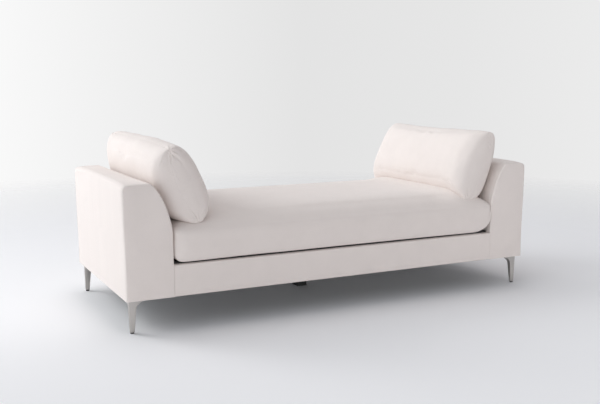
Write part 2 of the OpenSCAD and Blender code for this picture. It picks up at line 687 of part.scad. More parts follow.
// Zips, drawn along X with the tape's back on the XY plane and the teeth up
module zip_pocket_cut(l) translate([-l / 2 - soft_gap, -zip_tape_w / 2 - soft_gap, -soft_gap])
    cube([l + 2 * soft_gap, zip_tape_w + 2 * soft_gap, seat_wrap]);
module zip(l) {
    translate([-l / 2, -zip_tape_w / 2, 0]) cube([l, zip_tape_w, zip_tape_t]);
    translate([-l / 2 + zip_stop / 2, -zip_chain_w / 2, zip_tape_t])
        cube([l - zip_stop, zip_chain_w, zip_chain_h]);
}
module slider(l) translate([-l / 2 + zip_stop, 0, zip_tape_t + soft_gap]) difference() {
    translate([0, -slider_w / 2, 0]) cube([slider_l, slider_w, slider_h]);
    translate([-overrun, -zip_chain_w / 2 - soft_gap, -overrun])
        cube([slider_l + 2 * overrun, zip_chain_w + 2 * soft_gap, zip_chain_h + overrun]);
}
module seat_zip_frame() translate([0, seat_zip_y, seat_zip_z]) rotate([-90, 0, 0]) children();
module seat_zip() color(steel) seat_zip_frame() zip(seat_zip_l);
module seat_zip_slider() color(leg_metal) seat_zip_frame() slider(seat_zip_l);

// Pillows
// Is a point clear of the left arm, and of the seat?
function clear_of_arm(p) = let (
    u = p[0] + half_length - slope_x, w = p[2] - slope_z,
    a = slope_w + pillow_arm_gap, b = slope_h + pillow_arm_gap
) u > a || w > b || (u > 0 && w > 0 && pow(u / a, slope_power) + pow(w / b, slope_power) > 1);
function clear_of_seat(p) = p[2] > seat_top(p[0], p[1]) + pillow_seat_gap;
function is_clear(p) = clear_of_arm(p) && clear_of_seat(p);
// A point pulled towards a middle until it is clear, by halving
function pulled(middle, p, near = 0, far = 1, n = 12) =
    is_clear(p) && far == 1 ? p
    : n == 0 ? middle + (p - middle) * near
    : let (m = (near + far) / 2) is_clear(middle + (p - middle) * m)
        ? pulled(middle, p, m, far, n - 1) : pulled(middle, p, near, m, n - 1);
// From the pillow's own thickness and height directions to the divan's axes
function pillow_point(u, y, v) = [
    pillow_x + u * cos(pillow_lean) - v * sin(pillow_lean), y,
    pillow_z + u * sin(pillow_lean) + v * cos(pillow_lean)
];
function signed_pow(v, e) = sign(v) * pow(abs(v), e);
// One ring at a place along Y, with its thickness and height as shares
function pillow_ring(y, thick_share, high_share) = let (
    belly = 1 - pow(2 * y / pillow_length, 2),
    a = thick_share * (pillow_thickness / 2 + pillow_crown * belly),
    b = high_share * (pillow_height / 2 - pillow_draw * belly)
) [
    for (k = [0:pillow_points - 1]) let (
        t = 270 - 360 * (k + 0.5) / pillow_points,
        v = signed_pow(sin(t), 2 / pillow_power)
    ) pulled([pillow_x, y, pillow_z],
        pillow_point(a * (1 - pillow_foot_share * v) * signed_pow(cos(t), 2 / pillow_power), y, b * v))
];
// The rings of one half, from the middle to the end seam
function pillow_half(side) = concat(
    [for (s = pillow_body_shares) pillow_ring(side * s * (pillow_length / 2 - pillow_end_l), 1, 1)],
    [for (k = [0:pillow_end_steps]) let (a = 90 * k / pillow_end_steps) pillow_ring(
        side * (pillow_length / 2 - pillow_end_l * (1 - sin(a))),
        1 - (1 - pillow_end_share) * (1 - cos(a)),
        1 - (1 - pillow_ear_share) * (1 - cos(a)))]
);
function pillow_rings() = let (front = pillow_half(-1)) concat(
    [for (k = [len(front) - 1:-1:1]) front[k]], pillow_half(1));
// The pillow's own frame, with X along its thickness and Z along its height
module pillow_frame() translate([pillow_x, 0, pillow_z]) rotate([0, -pillow_lean, 0]) children();
module fill_solid(gap) along_y(-fill_length_share * pillow_length / 2 + gap,
    fill_length_share * pillow_length / 2 - gap) polygon([
        for (k = [0:pillow_points - 1]) let (t = 360 * k / pillow_points) [
            (fill_share * pillow_thickness / 2 - gap) * signed_pow(cos(t), 2 / pillow_power),
            (fill_share * pillow_height / 2 - gap) * signed_pow(sin(t), 2 / pillow_power)
        ]
    ]);
module pillow_zip_frame() pillow_frame() translate([0, 0, pillow_zip_v])
    rotate(a = 180, v = [1, 1, 0]) children();
module pillow_cover() difference() {
    loft(pillow_rings());
    pillow_frame() fill_solid(0);
    pillow_zip_frame() zip_pocket_cut(pillow_zip_l);
}
module pillow_fill() pillow_frame() fill_solid(soft_gap);
module pillow_zip() pillow_zip_frame() zip(pillow_zip_l);
module pillow_zip_slider() pillow_zip_frame() slider(pillow_zip_l);
module left_pillow_cover() color(cloth) pillow_cover();
module left_pillow_fill() color(foam) pillow_fill();
module left_pillow_zip() color(steel) pillow_zip();
module left_pillow_zip_slider() color(leg_metal) pillow_zip_slider();
module right_pillow_cover() color(cloth) mirror([1, 0, 0]) pillow_cover();
module right_pillow_fill() color(foam) mirror([1, 0, 0]) pillow_fill();
module right_pillow_zip() color(steel) mirror([1, 0, 0]) pillow_zip();
module right_pillow_zip_slider() color(leg_metal) mirror([1, 0, 0]) pillow_zip_slider();

front_rail();
back_rail();
left_end_rail();
right_end_rail();
centre_stretcher();
side_stretchers();
corner_blocks();
arm_bolts();
left_arm_front_board();
left_arm_back_board();
left_arm_top_rail();
left_arm_outer_base_rail();
left_arm_inner_base_rail();
left_arm_outer_panel();
left_arm_inner_panel();
left_arm_padding();
left_arm_cover();
right_arm_front_board();
right_arm_back_board();
right_arm_top_rail();
right_arm_outer_base_rail();
right_arm_inner_base_rail();
right_arm_outer_panel();
right_arm_inner_panel();
right_arm_padding();
right_arm_cover();
seat_springs();
spring_clips();
tie_wires();
insulator();
deck_pad();
deck_cover();
front_rail_cover();
back_rail_cover();
dust_cover();
front_left_leg();
front_right_leg();
back_left_leg();
back_right_leg();
leg_glides();
leg_screws();
centre_leg();
centre_leg_bolt();
seat_cover();
seat_core();
seat_zip();
seat_zip_slider();
left_pillow_cover();
left_pillow_fill();
left_pillow_zip();
left_pillow_zip_slider();
right_pillow_cover();
right_pillow_fill();
right_pillow_zip();
right_pillow_zip_slider();
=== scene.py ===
"""The looks of a backless divan: upholstery, loose cushions, metal legs, zips and the studio round it."""
import json
import math

import bmesh
import bpy
import numpy as np
from mathutils import Matrix, Vector


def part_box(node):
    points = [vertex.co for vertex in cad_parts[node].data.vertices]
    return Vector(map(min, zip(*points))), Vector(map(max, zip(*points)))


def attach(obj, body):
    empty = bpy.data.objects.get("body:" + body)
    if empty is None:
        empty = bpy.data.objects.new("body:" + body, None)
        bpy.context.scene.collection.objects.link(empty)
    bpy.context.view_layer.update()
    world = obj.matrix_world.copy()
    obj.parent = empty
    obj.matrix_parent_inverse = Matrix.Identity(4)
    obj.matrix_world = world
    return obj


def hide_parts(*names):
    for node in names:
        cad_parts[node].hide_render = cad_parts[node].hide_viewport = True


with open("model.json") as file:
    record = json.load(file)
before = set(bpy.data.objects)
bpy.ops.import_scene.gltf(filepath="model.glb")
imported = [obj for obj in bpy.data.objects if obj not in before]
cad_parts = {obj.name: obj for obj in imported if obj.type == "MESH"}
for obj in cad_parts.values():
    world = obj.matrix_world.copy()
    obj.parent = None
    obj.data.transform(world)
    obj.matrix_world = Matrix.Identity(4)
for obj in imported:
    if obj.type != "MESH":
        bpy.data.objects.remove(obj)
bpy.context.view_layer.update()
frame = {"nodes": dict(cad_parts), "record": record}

MM = 0.001
X, Y, Z = 0, 1, 2


# Shader maths

class Level:
    """A number that varies over a surface. Sums on it add Math nodes to its finish."""

    def __init__(self, finish, socket):
        self.finish = finish
        self.socket = socket

    def math(self, operation, *values):
        return self.finish.node("ShaderNodeMath", values, operation=operation)

    def __rsub__(self, other):
        return self.math("SUBTRACT", other, self)

    def __abs__(self):
        return self.math("ABSOLUTE", self)

    def sin(self):
        return self.math("SINE", self)

    def clamp(self):
        return self.finish.node("ShaderNodeClamp", (self,))


def sum_with(operation):
    return lambda level, other: level.math(operation, level, other)


for sign, operation in {"add": "ADD", "radd": "ADD", "sub": "SUBTRACT", "mul": "MULTIPLY", "rmul": "MULTIPLY",
                        "truediv": "DIVIDE", "pow": "POWER", "gt": "GREATER_THAN"}.items():
    setattr(Level, f"__{sign}__", sum_with(operation))


class Bed:
    """The nodes of a material or of the world, and the links between them."""

    def __init__(self, tree):
        self.tree = tree

    def link(self, level, socket):
        self.tree.links.new(level.socket, socket)

    def node(self, kind, values=(), output=0, **settings):
        made = self.tree.nodes.new(kind)
        for name, value in settings.items():
            setattr(made, name, value)
        pairs = values.items() if isinstance(values, dict) else enumerate(values)
        for place, value in pairs:
            if isinstance(value, Level):
                self.link(value, made.inputs[place])
            else:
                made.inputs[place].default_value = value
        return Level(self, made.outputs[output] if made.outputs else None)

    def axes(self, point):
        split = self.node("ShaderNodeSeparateXYZ", (point,))
        return [Level(self, out) for out in split.socket.node.outputs]


class Finish(Bed):
    """A material being made. A value that is the same all over goes on the shader's own socket."""

    def __init__(self, name, **sockets):
        self.material = bpy.data.materials.new(name)
        self.material.use_nodes = True
        super().__init__(self.material.node_tree)
        self.shader = self.tree.nodes["Principled BSDF"]
        for socket, value in sockets.items():
            self.shader.inputs[socket.replace("_", " ")].default_value = value

    def place(self, turn=(0, 0, 0), scale=(1, 1, 1), uv=None):
        """The point on the surface, from Object coordinates or from the piece's own UV map."""
        if uv:
            point = self.node("ShaderNodeUVMap", uv_map=uv)
        else:
            point = self.node("ShaderNodeTexCoord", output=3)
        return self.node("ShaderNodeMapping", {"Vector": point, "Rotation": turn, "Scale": scale})

    def noise(self, point, scale, detail=2.0, roughness=0.5, distortion=0.0):
        return self.node("ShaderNodeTexNoise", {
            "Vector": point, "Scale": scale, "Detail": detail, "Roughness": roughness,
            "Distortion": distortion})

    def blend(self, factor, first, second):
        """A colour between two."""
        return self.node("ShaderNodeMix", {0: factor, 6: first, 7: second}, output=2, data_type="RGBA")

    def feed(self, **levels):
        for socket, level in levels.items():
            self.link(level, self.shader.inputs[socket.replace("_", " ")])

    def tint(self, colour, first, second, tone, rough=None):
        """Shades the colour from the first factor to the second as tone goes from 0 to 1."""
        self.feed(Base_Color=self.blend(tone.clamp(), shade(colour, first), shade(colour, second)))
        if rough:
            self.feed(Roughness=rough.clamp())

    def with_relief(self, height, distance, strength):
        """The material, with the bump that completes it."""
        self.feed(Normal=self.node(
            "ShaderNodeBump", {"Height": height, "Distance": distance, "Strength": strength}))
        return self.material


def shade(colour, factor):
    return tuple(min(1.0, part * factor) for part in colour[:3]) + (1.0,)


# Finishes

def woven(name, colour, thread, contrast=0.05, relief=0.25 * MM, sheen=0.2):
    """A plain weave of threads with uneven thickness, slight blotches and a soft nap."""
    finish = Finish(name, Roughness=0.92, Sheen_Weight=sheen, Sheen_Roughness=0.45)
    point = finish.place(uv="cloth")
    drift = finish.noise(point, 140.0, 3.0) * (0.35 * thread)
    across, along, _ = finish.axes(point)
    warp = ((across + drift) * (math.pi / thread)).sin()
    weft = ((along + drift) * (math.pi / thread)).sin()
    over = (warp * weft) > 0.0
    ridge = abs(warp) * over + abs(weft) * (1.0 - over)
    slub = finish.noise(finish.place(scale=(1.0, 0.08, 1.0), uv="cloth"), 900.0, 2.0)
    height = ridge * (0.65 + slub * 0.7)
    blotch = finish.noise(point, 9.0, 4.0, 0.6)
    fleck = finish.noise(point, 420.0, 2.0)
    # The tone follows the threads' height, so the gaps between threads are painted darker, as shade; the
    # blotches and flecks are the cloth's own
    tone = height * 0.6 + blotch * 0.9 + fleck * 0.5 - 0.35
    finish.tint(colour, 1 - contrast, 1 + contrast, tone, 0.86 + fleck * 0.12)
    return finish.with_relief(height + fleck * 0.4, relief, 0.5)


def brushed(name, colour, roughness=0.34, grain=(6.0, 6.0, 400.0)):
    """Satin metal with a fine grain and faint cloudiness."""
    finish = Finish(name, Metallic=1.0, Roughness=roughness)
    streak = finish.noise(finish.place(scale=grain), 3.0, 3.0)
    cloud = finish.noise(finish.place(), 18.0, 3.0)
    finish.tint(colour, 0.93, 1.06, streak * 0.6 + cloud * 0.4,
                roughness - 0.08 + streak * 0.12 + cloud * 0.06)
    return finish.with_relief(streak, 0.04 * MM, 0.4)


def timber(name, colour, turn=(0, 0, 0), ring=38.0):
    """Sawn softwood or veneer with growth rings along the piece."""
    finish = Finish(name, Roughness=0.7)
    point = finish.place(turn=turn, scale=(0.12, 1.0, 1.0))
    wander = finish.noise(point, 5.0, 3.0, distortion=0.4)
    rings = finish.node("ShaderNodeTexWave", {
        "Vector": point, "Scale": ring, "Distortion": 5.0, "Detail": 3.0},
        output=1, wave_type="RINGS", rings_direction="X")
    pore = finish.noise(finish.place(turn=turn, scale=(0.04, 1.0, 1.0)), 900.0, 2.0)
    finish.tint(colour, 0.72, 1.18, rings * 0.35 + wander * 0.5 + pore * 0.25, 0.6 + pore * 0.25)
    return finish.with_relief(pore + rings * 0.3, 0.15 * MM, 0.5)


def spongy(name, colour, cell=1.6 * MM):
    """Open foam or fibre: small cells, with painted shade darkening their sunken pits."""
    finish = Finish(name, Roughness=0.95)
    point = finish.place()
    cells = finish.node("ShaderNodeTexVoronoi", {"Vector": point, "Scale": 1 / cell})
    cloud = finish.noise(point, 14.0, 3.0)
    # Darker where the cells sink in: painted shade in the pits; the cloud is the foam's own uneven tone
    finish.tint(colour, 1.05, 0.82, cells * 0.8 + cloud * 0.4)
    return finish.with_relief(cells, -0.4 * MM, 0.7)


def fibrous(name, colour, scale=260.0, contrast=0.25):
    """Felt, pressed board or spunbond cloth: short fibres lying all ways."""
    finish = Finish(name, Roughness=0.93)
    point = finish.place()
    fibre = finish.noise(point, scale, 5.0, 0.7, 1.2)
    cloud = finish.noise(point, 11.0, 3.0)
    finish.tint(colour, 1 - contrast, 1 + contrast, fibre * 0.8 + cloud * 0.25, 0.85 + fibre * 0.15)
    return finish.with_relief(fibre, 0.3 * MM, 0.6)


def moulded(name, colour, roughness=0.45):
    """Moulded plastic or satin black lacquer with a fine texture and faint scuffs."""
    finish = Finish(name)
    grain = finish.noise(finish.place(), 1400.0, 2.0)
    scuff = finish.noise(finish.place(scale=(1.0, 1.0, 6.0)), 30.0, 4.0, 0.7)
    finish.tint(colour, 0.8, 1.35, scuff, roughness - 0.1 + scuff * 0.25)
    return finish.with_relief(grain, 0.03 * MM, 0.5)


CLOTH = (0.785, 0.714, 0.678)
FINISHES = {
    "upholstery_cloth": woven("warm white upholstery weave", CLOTH, 1.5 * MM),
    "leg_metal": brushed("satin nickel legs", (0.50, 0.475, 0.455)),
    "black_wood": moulded("black lacquered wood", (0.006, 0.006, 0.006), 0.55),
    "black_plastic": moulded("black moulded plastic", (0.02, 0.02, 0.02)),
    "deck_cloth": woven("charcoal deck cloth", (0.035, 0.033, 0.033), 1.1 * MM, 0.2, 0.2 * MM, 0.0),
    "dust_cloth": fibrous("black spunbond dust cloth", (0.03, 0.03, 0.033)),
    "frame_wood": timber("sawn pine", (0.60, 0.42, 0.24)),
    "plywood": timber("birch plywood", (0.66, 0.50, 0.32), turn=(0, math.pi / 2, 0), ring=12.0),
    "panel_board": fibrous("brown pressed board", (0.32, 0.21, 0.13), 420.0),
    "foam": spongy("pale yellow foam", (0.80, 0.71, 0.42)),
    "pillow_fill": fibrous("white fibre fill", (0.85, 0.85, 0.83), 160.0, 0.08),
    "felt": fibrous("grey needle felt", (0.13, 0.13, 0.14)),
    "spring_steel": brushed("oiled spring steel", (0.30, 0.30, 0.31), 0.42),
    "fastener_steel": brushed("zinc plated steel", (0.56, 0.57, 0.60), 0.3, (40.0, 40.0, 40.0)),
    "zip_tape": woven("zip tape twill", shade(CLOTH, 0.93), 0.7 * MM, 0.08, 0.12 * MM, 0.05),
    "zip_metal": brushed("nickel zip slider", (0.58, 0.57, 0.56), 0.28, (60.0, 60.0, 60.0)),
}


# Modelling by hand

def added(name, scale=(1, 1, 1)):
    """The form that was just added, named, with its scale and place in its mesh."""
    piece = bpy.context.object
    piece.name = piece.data.name = name
    piece.scale = scale
    bpy.ops.object.transform_apply(location=True, rotation=True, scale=True)
    return piece


def block(name, low, high):
    """A box at its size and place, as the start of a piece."""
    low, high = Vector(low), Vector(high)
    bpy.ops.mesh.primitive_cube_add(size=1, location=(low + high) / 2)
    return added(name, high - low)


def rod(name, start, radius, depth):
    """A round bar that stands on a point."""
    middle = Vector(start) + Vector((0, 0, depth / 2))
    bpy.ops.mesh.primitive_cylinder_add(vertices=24, radius=radius, depth=depth, location=middle)
    return added(name)


def hold(piece):
    """Makes a piece the active one and the only one selected."""
    bpy.ops.object.select_all(action="DESELECT")
    bpy.context.view_layer.objects.active = piece
    piece.select_set(True)


class Bench:
    """Edit mode on one piece: with Bench(piece) as bench."""

    def __init__(self, piece):
        self.piece = piece

    def __enter__(self):
        hold(self.piece)
        bpy.ops.object.mode_set(mode="EDIT")
        return self

    def __exit__(self, *_):
        bpy.ops.object.mode_set(mode="OBJECT")

    def pick(self, kind, test):
        """Selects the verts, edges or faces for which test is true."""
        bpy.ops.mesh.select_mode(type={"verts": "VERT", "edges": "EDGE", "faces": "FACE"}[kind])
        bpy.ops.mesh.select_all(action="DESELECT")
        mesh = bmesh.from_edit_mesh(self.piece.data)
        for part in getattr(mesh, kind):
            part.select_set(bool(test(part)))
        mesh.select_flush_mode()
        bmesh.update_edit_mesh(self.piece.data)

    def round_off(self, test, width, segments, **settings):
        """Bevels the edges for which test is true."""
        self.pick("edges", test)
        bpy.ops.mesh.bevel(offset=width, segments=segments, affect="EDGES", **settings)

    def cut_away(self, test):
        """Deletes the faces for which test is true."""
        self.pick("faces", test)
        bpy.ops.mesh.delete(type="FACE")

    def slice(self, axis, places):
        """Cuts the whole piece across an axis at some places, and keeps both sides."""
        for place in places:
            bpy.ops.mesh.select_all(action="SELECT")
            bpy.ops.mesh.bisect(plane_co=[place * (k == axis) for k in (X, Y, Z)],
                                plane_no=[k == axis for k in (X, Y, Z)])


def near(a, b):
    """Are two places along an axis the same, apart from rounding?"""
    return abs(a - b) < 0.01 * MM


def on_plane(part, axis, place):
    """Does an edge or face lie wholly at a place along an axis?"""
    return all(near(vert.co[axis], place) for vert in part.verts)


def steps(low, high, size):
    """Places of the cuts that split a run into even steps of about that size."""
    count = max(1, round((high - low) / size))
    return [low + (high - low) * k / count for k in range(1, count)]


def banded(half, edge, fine_step, wide_step):
    """Places of cuts from -half to half, closer together within edge of both ends."""
    inner = steps(-half + edge, half - edge, wide_step)
    outer = steps(half - edge, half, fine_step)
    return [-place for place in outer] + [edge - half] + inner + [half - edge] + outer


def gather(parts, field, width=3, kind=float):
    """One field of all parts of a mesh, as an array."""
    flat = np.empty(len(parts) * width, kind)
    parts.foreach_get(field, flat)
    return flat.reshape(-1, width) if width > 1 else flat


def points_of(piece):
    return gather(piece.data.vertices, "co")


def normals_of(piece):
    return gather(piece.data.vertex_normals, "vector")


def put_points(piece, points):
    piece.data.vertices.foreach_set("co", np.ascontiguousarray(points).ravel())
    piece.data.update()


def modify(piece, kind, **settings):
    """Adds one modifier and applies it."""
    hold(piece)
    modifier = piece.modifiers.new(kind.title(), kind)
    for name, value in settings.items():
        setattr(modifier, name, value)
    bpy.ops.object.modifier_apply(modifier=modifier.name)
    return piece


def ease(piece, width, segments, angle=30):
    """Bevels all edges that are sharper than angle."""
    return modify(piece, "BEVEL", width=width, segments=segments, limit_method="ANGLE",
                  angle_limit=math.radians(angle))


def cut_out(piece, cutters):
    """Takes the cutters' forms out of a piece."""
    for cutter in cutters:
        modify(piece, "BOOLEAN", operation="DIFFERENCE", object=cutter, solver="EXACT")
        bpy.data.objects.remove(cutter)


def smooth(piece, angle=50):
    hold(piece)
    bpy.ops.object.shade_smooth_by_angle(angle=math.radians(angle))
    return piece


def twin(piece, name, flips):
    """A copy with its own mesh, mirrored across the planes X = 0 or Y = 0."""
    copy = piece.copy()
    copy.data = piece.data.copy()
    copy.name = copy.data.name = name
    bpy.context.scene.collection.objects.link(copy)
    sign = [-1 if axis in flips else 1 for axis in (X, Y, Z)]
    copy.data.transform(Matrix.Diagonal(Vector(sign + [1])))
    if len(flips) % 2:
        copy.data.flip_normals()
    return copy


def join(name, pieces):
    hold(pieces[0])
    for piece in pieces:
        piece.select_set(True)
    bpy.ops.object.join()
    pieces[0].name = pieces[0].data.name = name
    return pieces[0]


def dress(piece, slot, body, *nodes):
    """Gives a finished piece the material of its slot and its body, and hides the CAD nodes that it stands
    for.
    """
    piece.data.materials.clear()
    piece.data.materials.append(FINISHES[slot])
    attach(piece, body)
    if nodes:
        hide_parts(*nodes)
    return piece


def ripple(points, size, seed):
    """Smooth uneven waves from -1 to 1 over points, with about that size in millimetres."""
    rng = np.random.default_rng(seed)
    total = np.zeros(len(points))
    for _ in range(7):
        way = rng.normal(size=3)
        way /= np.linalg.norm(way)
        length = size * MM * rng.uniform(0.6, 1.6)
        total += np.sin(points @ way * (2 * math.pi / length) + rng.uniform(0, 9))
    return total / 4


def waves(points, rows, seed=0):
    """The sum of ripples, from rows of size in millimetres, seed and height in millimetres."""
    return sum(ripple(points, size, seed + step) * height * MM for size, step, height in rows)


def fade(value, start, end):
    """Goes smoothly from 0 at start to 1 at end, which may be the lower of the two."""
    t = np.clip((value - start) / (end - start), 0, 1)
    return t * t * (3 - 2 * t)


def ramp(distance, start, end):
    """The same over a distance, from start to end in millimetres."""
    return fade(distance, start * MM, end * MM)


def dome(value, reach, power=2):
    """Falls from 1 at 0 to 0 at reach, on both sides."""
    return 1 - np.minimum(1, abs(value) / reach) ** power


def bell(distance, width):
    return np.exp(-(distance / width) ** 2)


def lay_cloth(piece, run=None):
    """Gives a piece its cloth map in metres: each face is laid flat along its main direction.
    With run, the first direction is the distance that run gives for points, along a wrapped side."""
    mesh = piece.data
    layer = mesh.uv_layers.get("cloth") or mesh.uv_layers.new(name="cloth")
    points = points_of(piece)
    loops = gather(mesh.loops, "vertex_index", 1, int)
    main = np.repeat(abs(gather(mesh.polygons, "normal")).argmax(1),
                     gather(mesh.polygons, "loop_total", 1, int))
    x, y, z = points[loops].T
    u = np.where(main == X, y, x)
    v = np.where(main == Z, y, z)
    if run is not None:
        u = np.where(main != Y, run(points)[loops], u)
        v = np.where(main != Y, y, v)
    layer.data.foreach_set("uv", np.c_[u, v].ravel())


# Arms

SLOPE_W = 100 * MM
SLOPE_H = 230 * MM
SLOPE_POWER = 1.5
ARM_EDGE = 22 * MM
FACE_EDGE = 8 * MM
COVER_T = 4 * MM
ARM_CROWN = 7.5 * MM
ARM_ROLL = 3.5 * MM
ARM_FLARE = 9 * MM
TURN_UNDER = 9 * MM
SEAM_BACK = 12 * MM
SEAM_HALF = 1.6 * MM
SEAM_DEPTH = 1.5 * MM
ARM_CELL = 14 * MM
ARM_WAVES = ((260, 1, 0.9), (90, 2, 0.3))
PANEL_PUFF = 3.0 * MM
# Runs in millimetres over which a form comes in: below the top, out from the inner face, towards
# the front and back, and in from the outer side
ARM_TOP_RUN = (-90, -10)
CROWN_RUN = (-108, -150)
ROLL_END_RUN = (-80, 0)
ROLL_SIDE_RUN = (70, 0)
FLARE_RUN = (110, 0)
# Width, grain and depth of the puckers along the seam
PUCKER_RUN = 11 * MM
PUCKER_GRAIN = 34
PUCKER_DEPTH = 1.0 * MM
# Share of the rounding of the arm's front edge that stays where the rail's cover meets it
TIGHT = 0.2


def outline_run(points, middle):
    """Distance along the arm's outline, for points of its wrapped side."""
    def turn(q):
        return np.arctan2(q[:, Z] - middle[Z], q[:, X] - middle[X])

    rows = points[:, Y]
    nearest = rows[abs(rows - middle[Y]).argmin()]
    ring = points[abs(rows - nearest) < 0.1 * MM]
    ring = ring[np.argsort(turn(ring))]
    angles = turn(ring)
    length = np.r_[0, np.cumsum(np.linalg.norm(np.diff(ring[:, [X, Z]], axis=0), axis=1))]
    return lambda q: np.interp(turn(q), angles, length)


def arm_upholstery():
    """The left arm's cover: a front and a back panel, sewn to one piece that wraps over the arm."""
    low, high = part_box("left_arm_cover")
    arm = block("left_arm_upholstery", low, high)
    stretch = SLOPE_H / SLOPE_W
    put_points(arm, points_of(arm) * [stretch, 1, 1])
    with Bench(arm) as bench:
        bench.round_off(lambda e: on_plane(e, X, high.x * stretch) and on_plane(e, Z, high.z),
                        SLOPE_H, 26, profile=2 ** (-2 / SLOPE_POWER))
    put_points(arm, points_of(arm) / [stretch, 1, 1])
    with Bench(arm) as bench:
        bench.round_off(lambda e: on_plane(e, X, low.x) and on_plane(e, Z, high.z), ARM_EDGE, 7)
        bench.round_off(lambda e: (on_plane(e, Y, low.y) or on_plane(e, Y, high.y))
                        and not on_plane(e, Z, low.z), FACE_EDGE, 5)
        seams = [low.y + SEAM_BACK, high.y - SEAM_BACK]
        rows = [seam + side * SEAM_HALF for seam in seams for side in (-1, 0, 1)]
        bench.slice(Y, rows + steps(seams[0] + SEAM_HALF, seams[1] - SEAM_HALF, ARM_CELL))
        bench.slice(Z, steps(low.z, high.z - SLOPE_H, ARM_CELL) + [high.z - SLOPE_H])
        bench.slice(Z, steps(high.z - SLOPE_H, high.z - ARM_EDGE, ARM_CELL))
        bench.slice(X, steps(low.x + FACE_EDGE, high.x - FACE_EDGE, ARM_CELL))
        bench.cut_away(lambda f: on_plane(f, Z, low.z))
        bench.pick("edges", lambda e: on_plane(e, Z, low.z))
        bpy.ops.mesh.extrude_region_move()
        inner = [1 - 2 * TURN_UNDER / (high[axis] - low[axis]) for axis in (X, Y)]
        bpy.ops.transform.resize(value=(*inner, 1), center_override=(low + high) / 2)
    lay_cloth(arm, outline_run(points_of(arm), (low + high) / 2))
    soften_arm(arm, low, high)
    return smooth(modify(arm, "SOLIDIFY", thickness=COVER_T, offset=-1))


def soften_arm(arm, low, high):
    """Puffs the panels, draws in the seams and lets the cloth lie a little uneven."""
    points = points_of(arm)
    out = normals_of(arm)
    x, y, z = points.T
    middle = (low + high) / 2
    half = (high - low) / 2
    above = z - low.z
    faces_y = abs(out[:, Y]) > 0.9
    inside = fade(1 - abs(x - middle.x) / half.x, 0, 0.5) * ramp(above, 0, 60)
    puff = faces_y * PANEL_PUFF * inside * fade(1 - abs(z - middle.z) / half.z, 0, 0.25)
    from_seam = abs(abs(y) - high.y + SEAM_BACK)
    groove = ~faces_y * bell(from_seam, SEAM_HALF) * SEAM_DEPTH
    pucker = np.exp(-from_seam / PUCKER_RUN) * (0.5 + 0.5 * ripple(points, PUCKER_GRAIN, 3)) * PUCKER_DEPTH
    wave = waves(points, ARM_WAVES)
    move = puff + (wave - abs(pucker)) * ramp(above, 0, 40) - groove * ramp(above, 0, 8)
    inner_side = (x > high.x - 2 * MM) & (z < high.z - SLOPE_H)
    points += out * np.where(inner_side, np.minimum(move, 0), move)[:, None]
    x[:] = np.minimum(x, high.x)
    beside_rail = (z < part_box("front_rail_cover")[1].z) & (x > high.x - FACE_EDGE)
    tight = beside_rail & (abs(abs(y) - high.y) < FACE_EDGE)
    face = np.sign(y) * high.y
    x[tight] = (high.x - (high.x - x) * TIGHT)[tight]
    y[tight] = (face + (y - face) * TIGHT)[tight]
    upper = ramp(z - high.z, *ARM_TOP_RUN)
    crown = ARM_CROWN * dome(y, high.y) * ramp(x - high.x, *CROWN_RUN)
    roll = ARM_ROLL * ramp(abs(y) - high.y, *ROLL_END_RUN) * ramp(x - low.x, *ROLL_SIDE_RUN)
    z += upper * (crown - roll)
    flare = ARM_FLARE * (0.4 + 0.6 * fade(z, low.z + 60 * MM, high.z - 40 * MM))
    x -= flare * ramp(x - low.x, *FLARE_RUN)
    put_points(arm, points)


# Rails

RAIL_EDGE = 6 * MM
RAIL_PUFF = 2.2 * MM
HEM_H = 13 * MM
HEM_DEPTH = 0.9 * MM
HEM_HALF = 1.2 * MM
HEM_PUCKER = 0.25 * MM


def rail_upholstery():
    """The front rail's cover, with rounded edges and a stitched hem along the lower one."""
    low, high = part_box("front_rail_cover")
    rail = block("front_rail_upholstery", low, high)
    hem = low.z + HEM_H
    with Bench(rail) as bench:
        bench.round_off(lambda e: on_plane(e, Y, low.y) and (on_plane(e, Z, low.z) or on_plane(e, Z, high.z)),
                        RAIL_EDGE, 5)
        bench.slice(X, steps(low.x + RAIL_EDGE, high.x - RAIL_EDGE, 18 * MM))
        bench.slice(Z, [hem - HEM_HALF, hem, hem + HEM_HALF]
                    + steps(hem + 2 * MM, high.z - RAIL_EDGE, 12 * MM))
        bench.cut_away(lambda f: on_plane(f, Y, high.y))
    lay_cloth(rail)
    points = points_of(rail)
    x, y, z = points.T
    front = fade(-normals_of(rail)[:, Y], 0.3, 0.8)
    rise = (z - low.z) / (high.z - low.z)
    puff = RAIL_PUFF * dome(2 * rise - 1, 1) * ramp(high.x - abs(x), 0, 30)
    groove = HEM_DEPTH * bell(z - hem, 1.3 * MM)
    pucker = HEM_PUCKER * ripple(points, 14, 5) * np.exp(-abs(z - hem) / (7 * MM))
    wave = ripple(points * [1, 1, 0.4], 210, 6) * 0.6 * MM
    y -= front * (puff + wave - groove + pucker)
    put_points(rail, points)
    return smooth(modify(rail, "SOLIDIFY", thickness=COVER_T - 0.5 * MM, offset=-1))


# Cloth simulation

CLOTH_FRAMES = 20
CLOTH_STIFFNESS = {"tension_stiffness": 18, "compression_stiffness": 18, "shear_stiffness": 6,
                   "bending_stiffness": 0.6}
# The furthest that the simulation moves a point out or in
SWELL_OUT = 9 * MM
SWELL_IN = 1 * MM


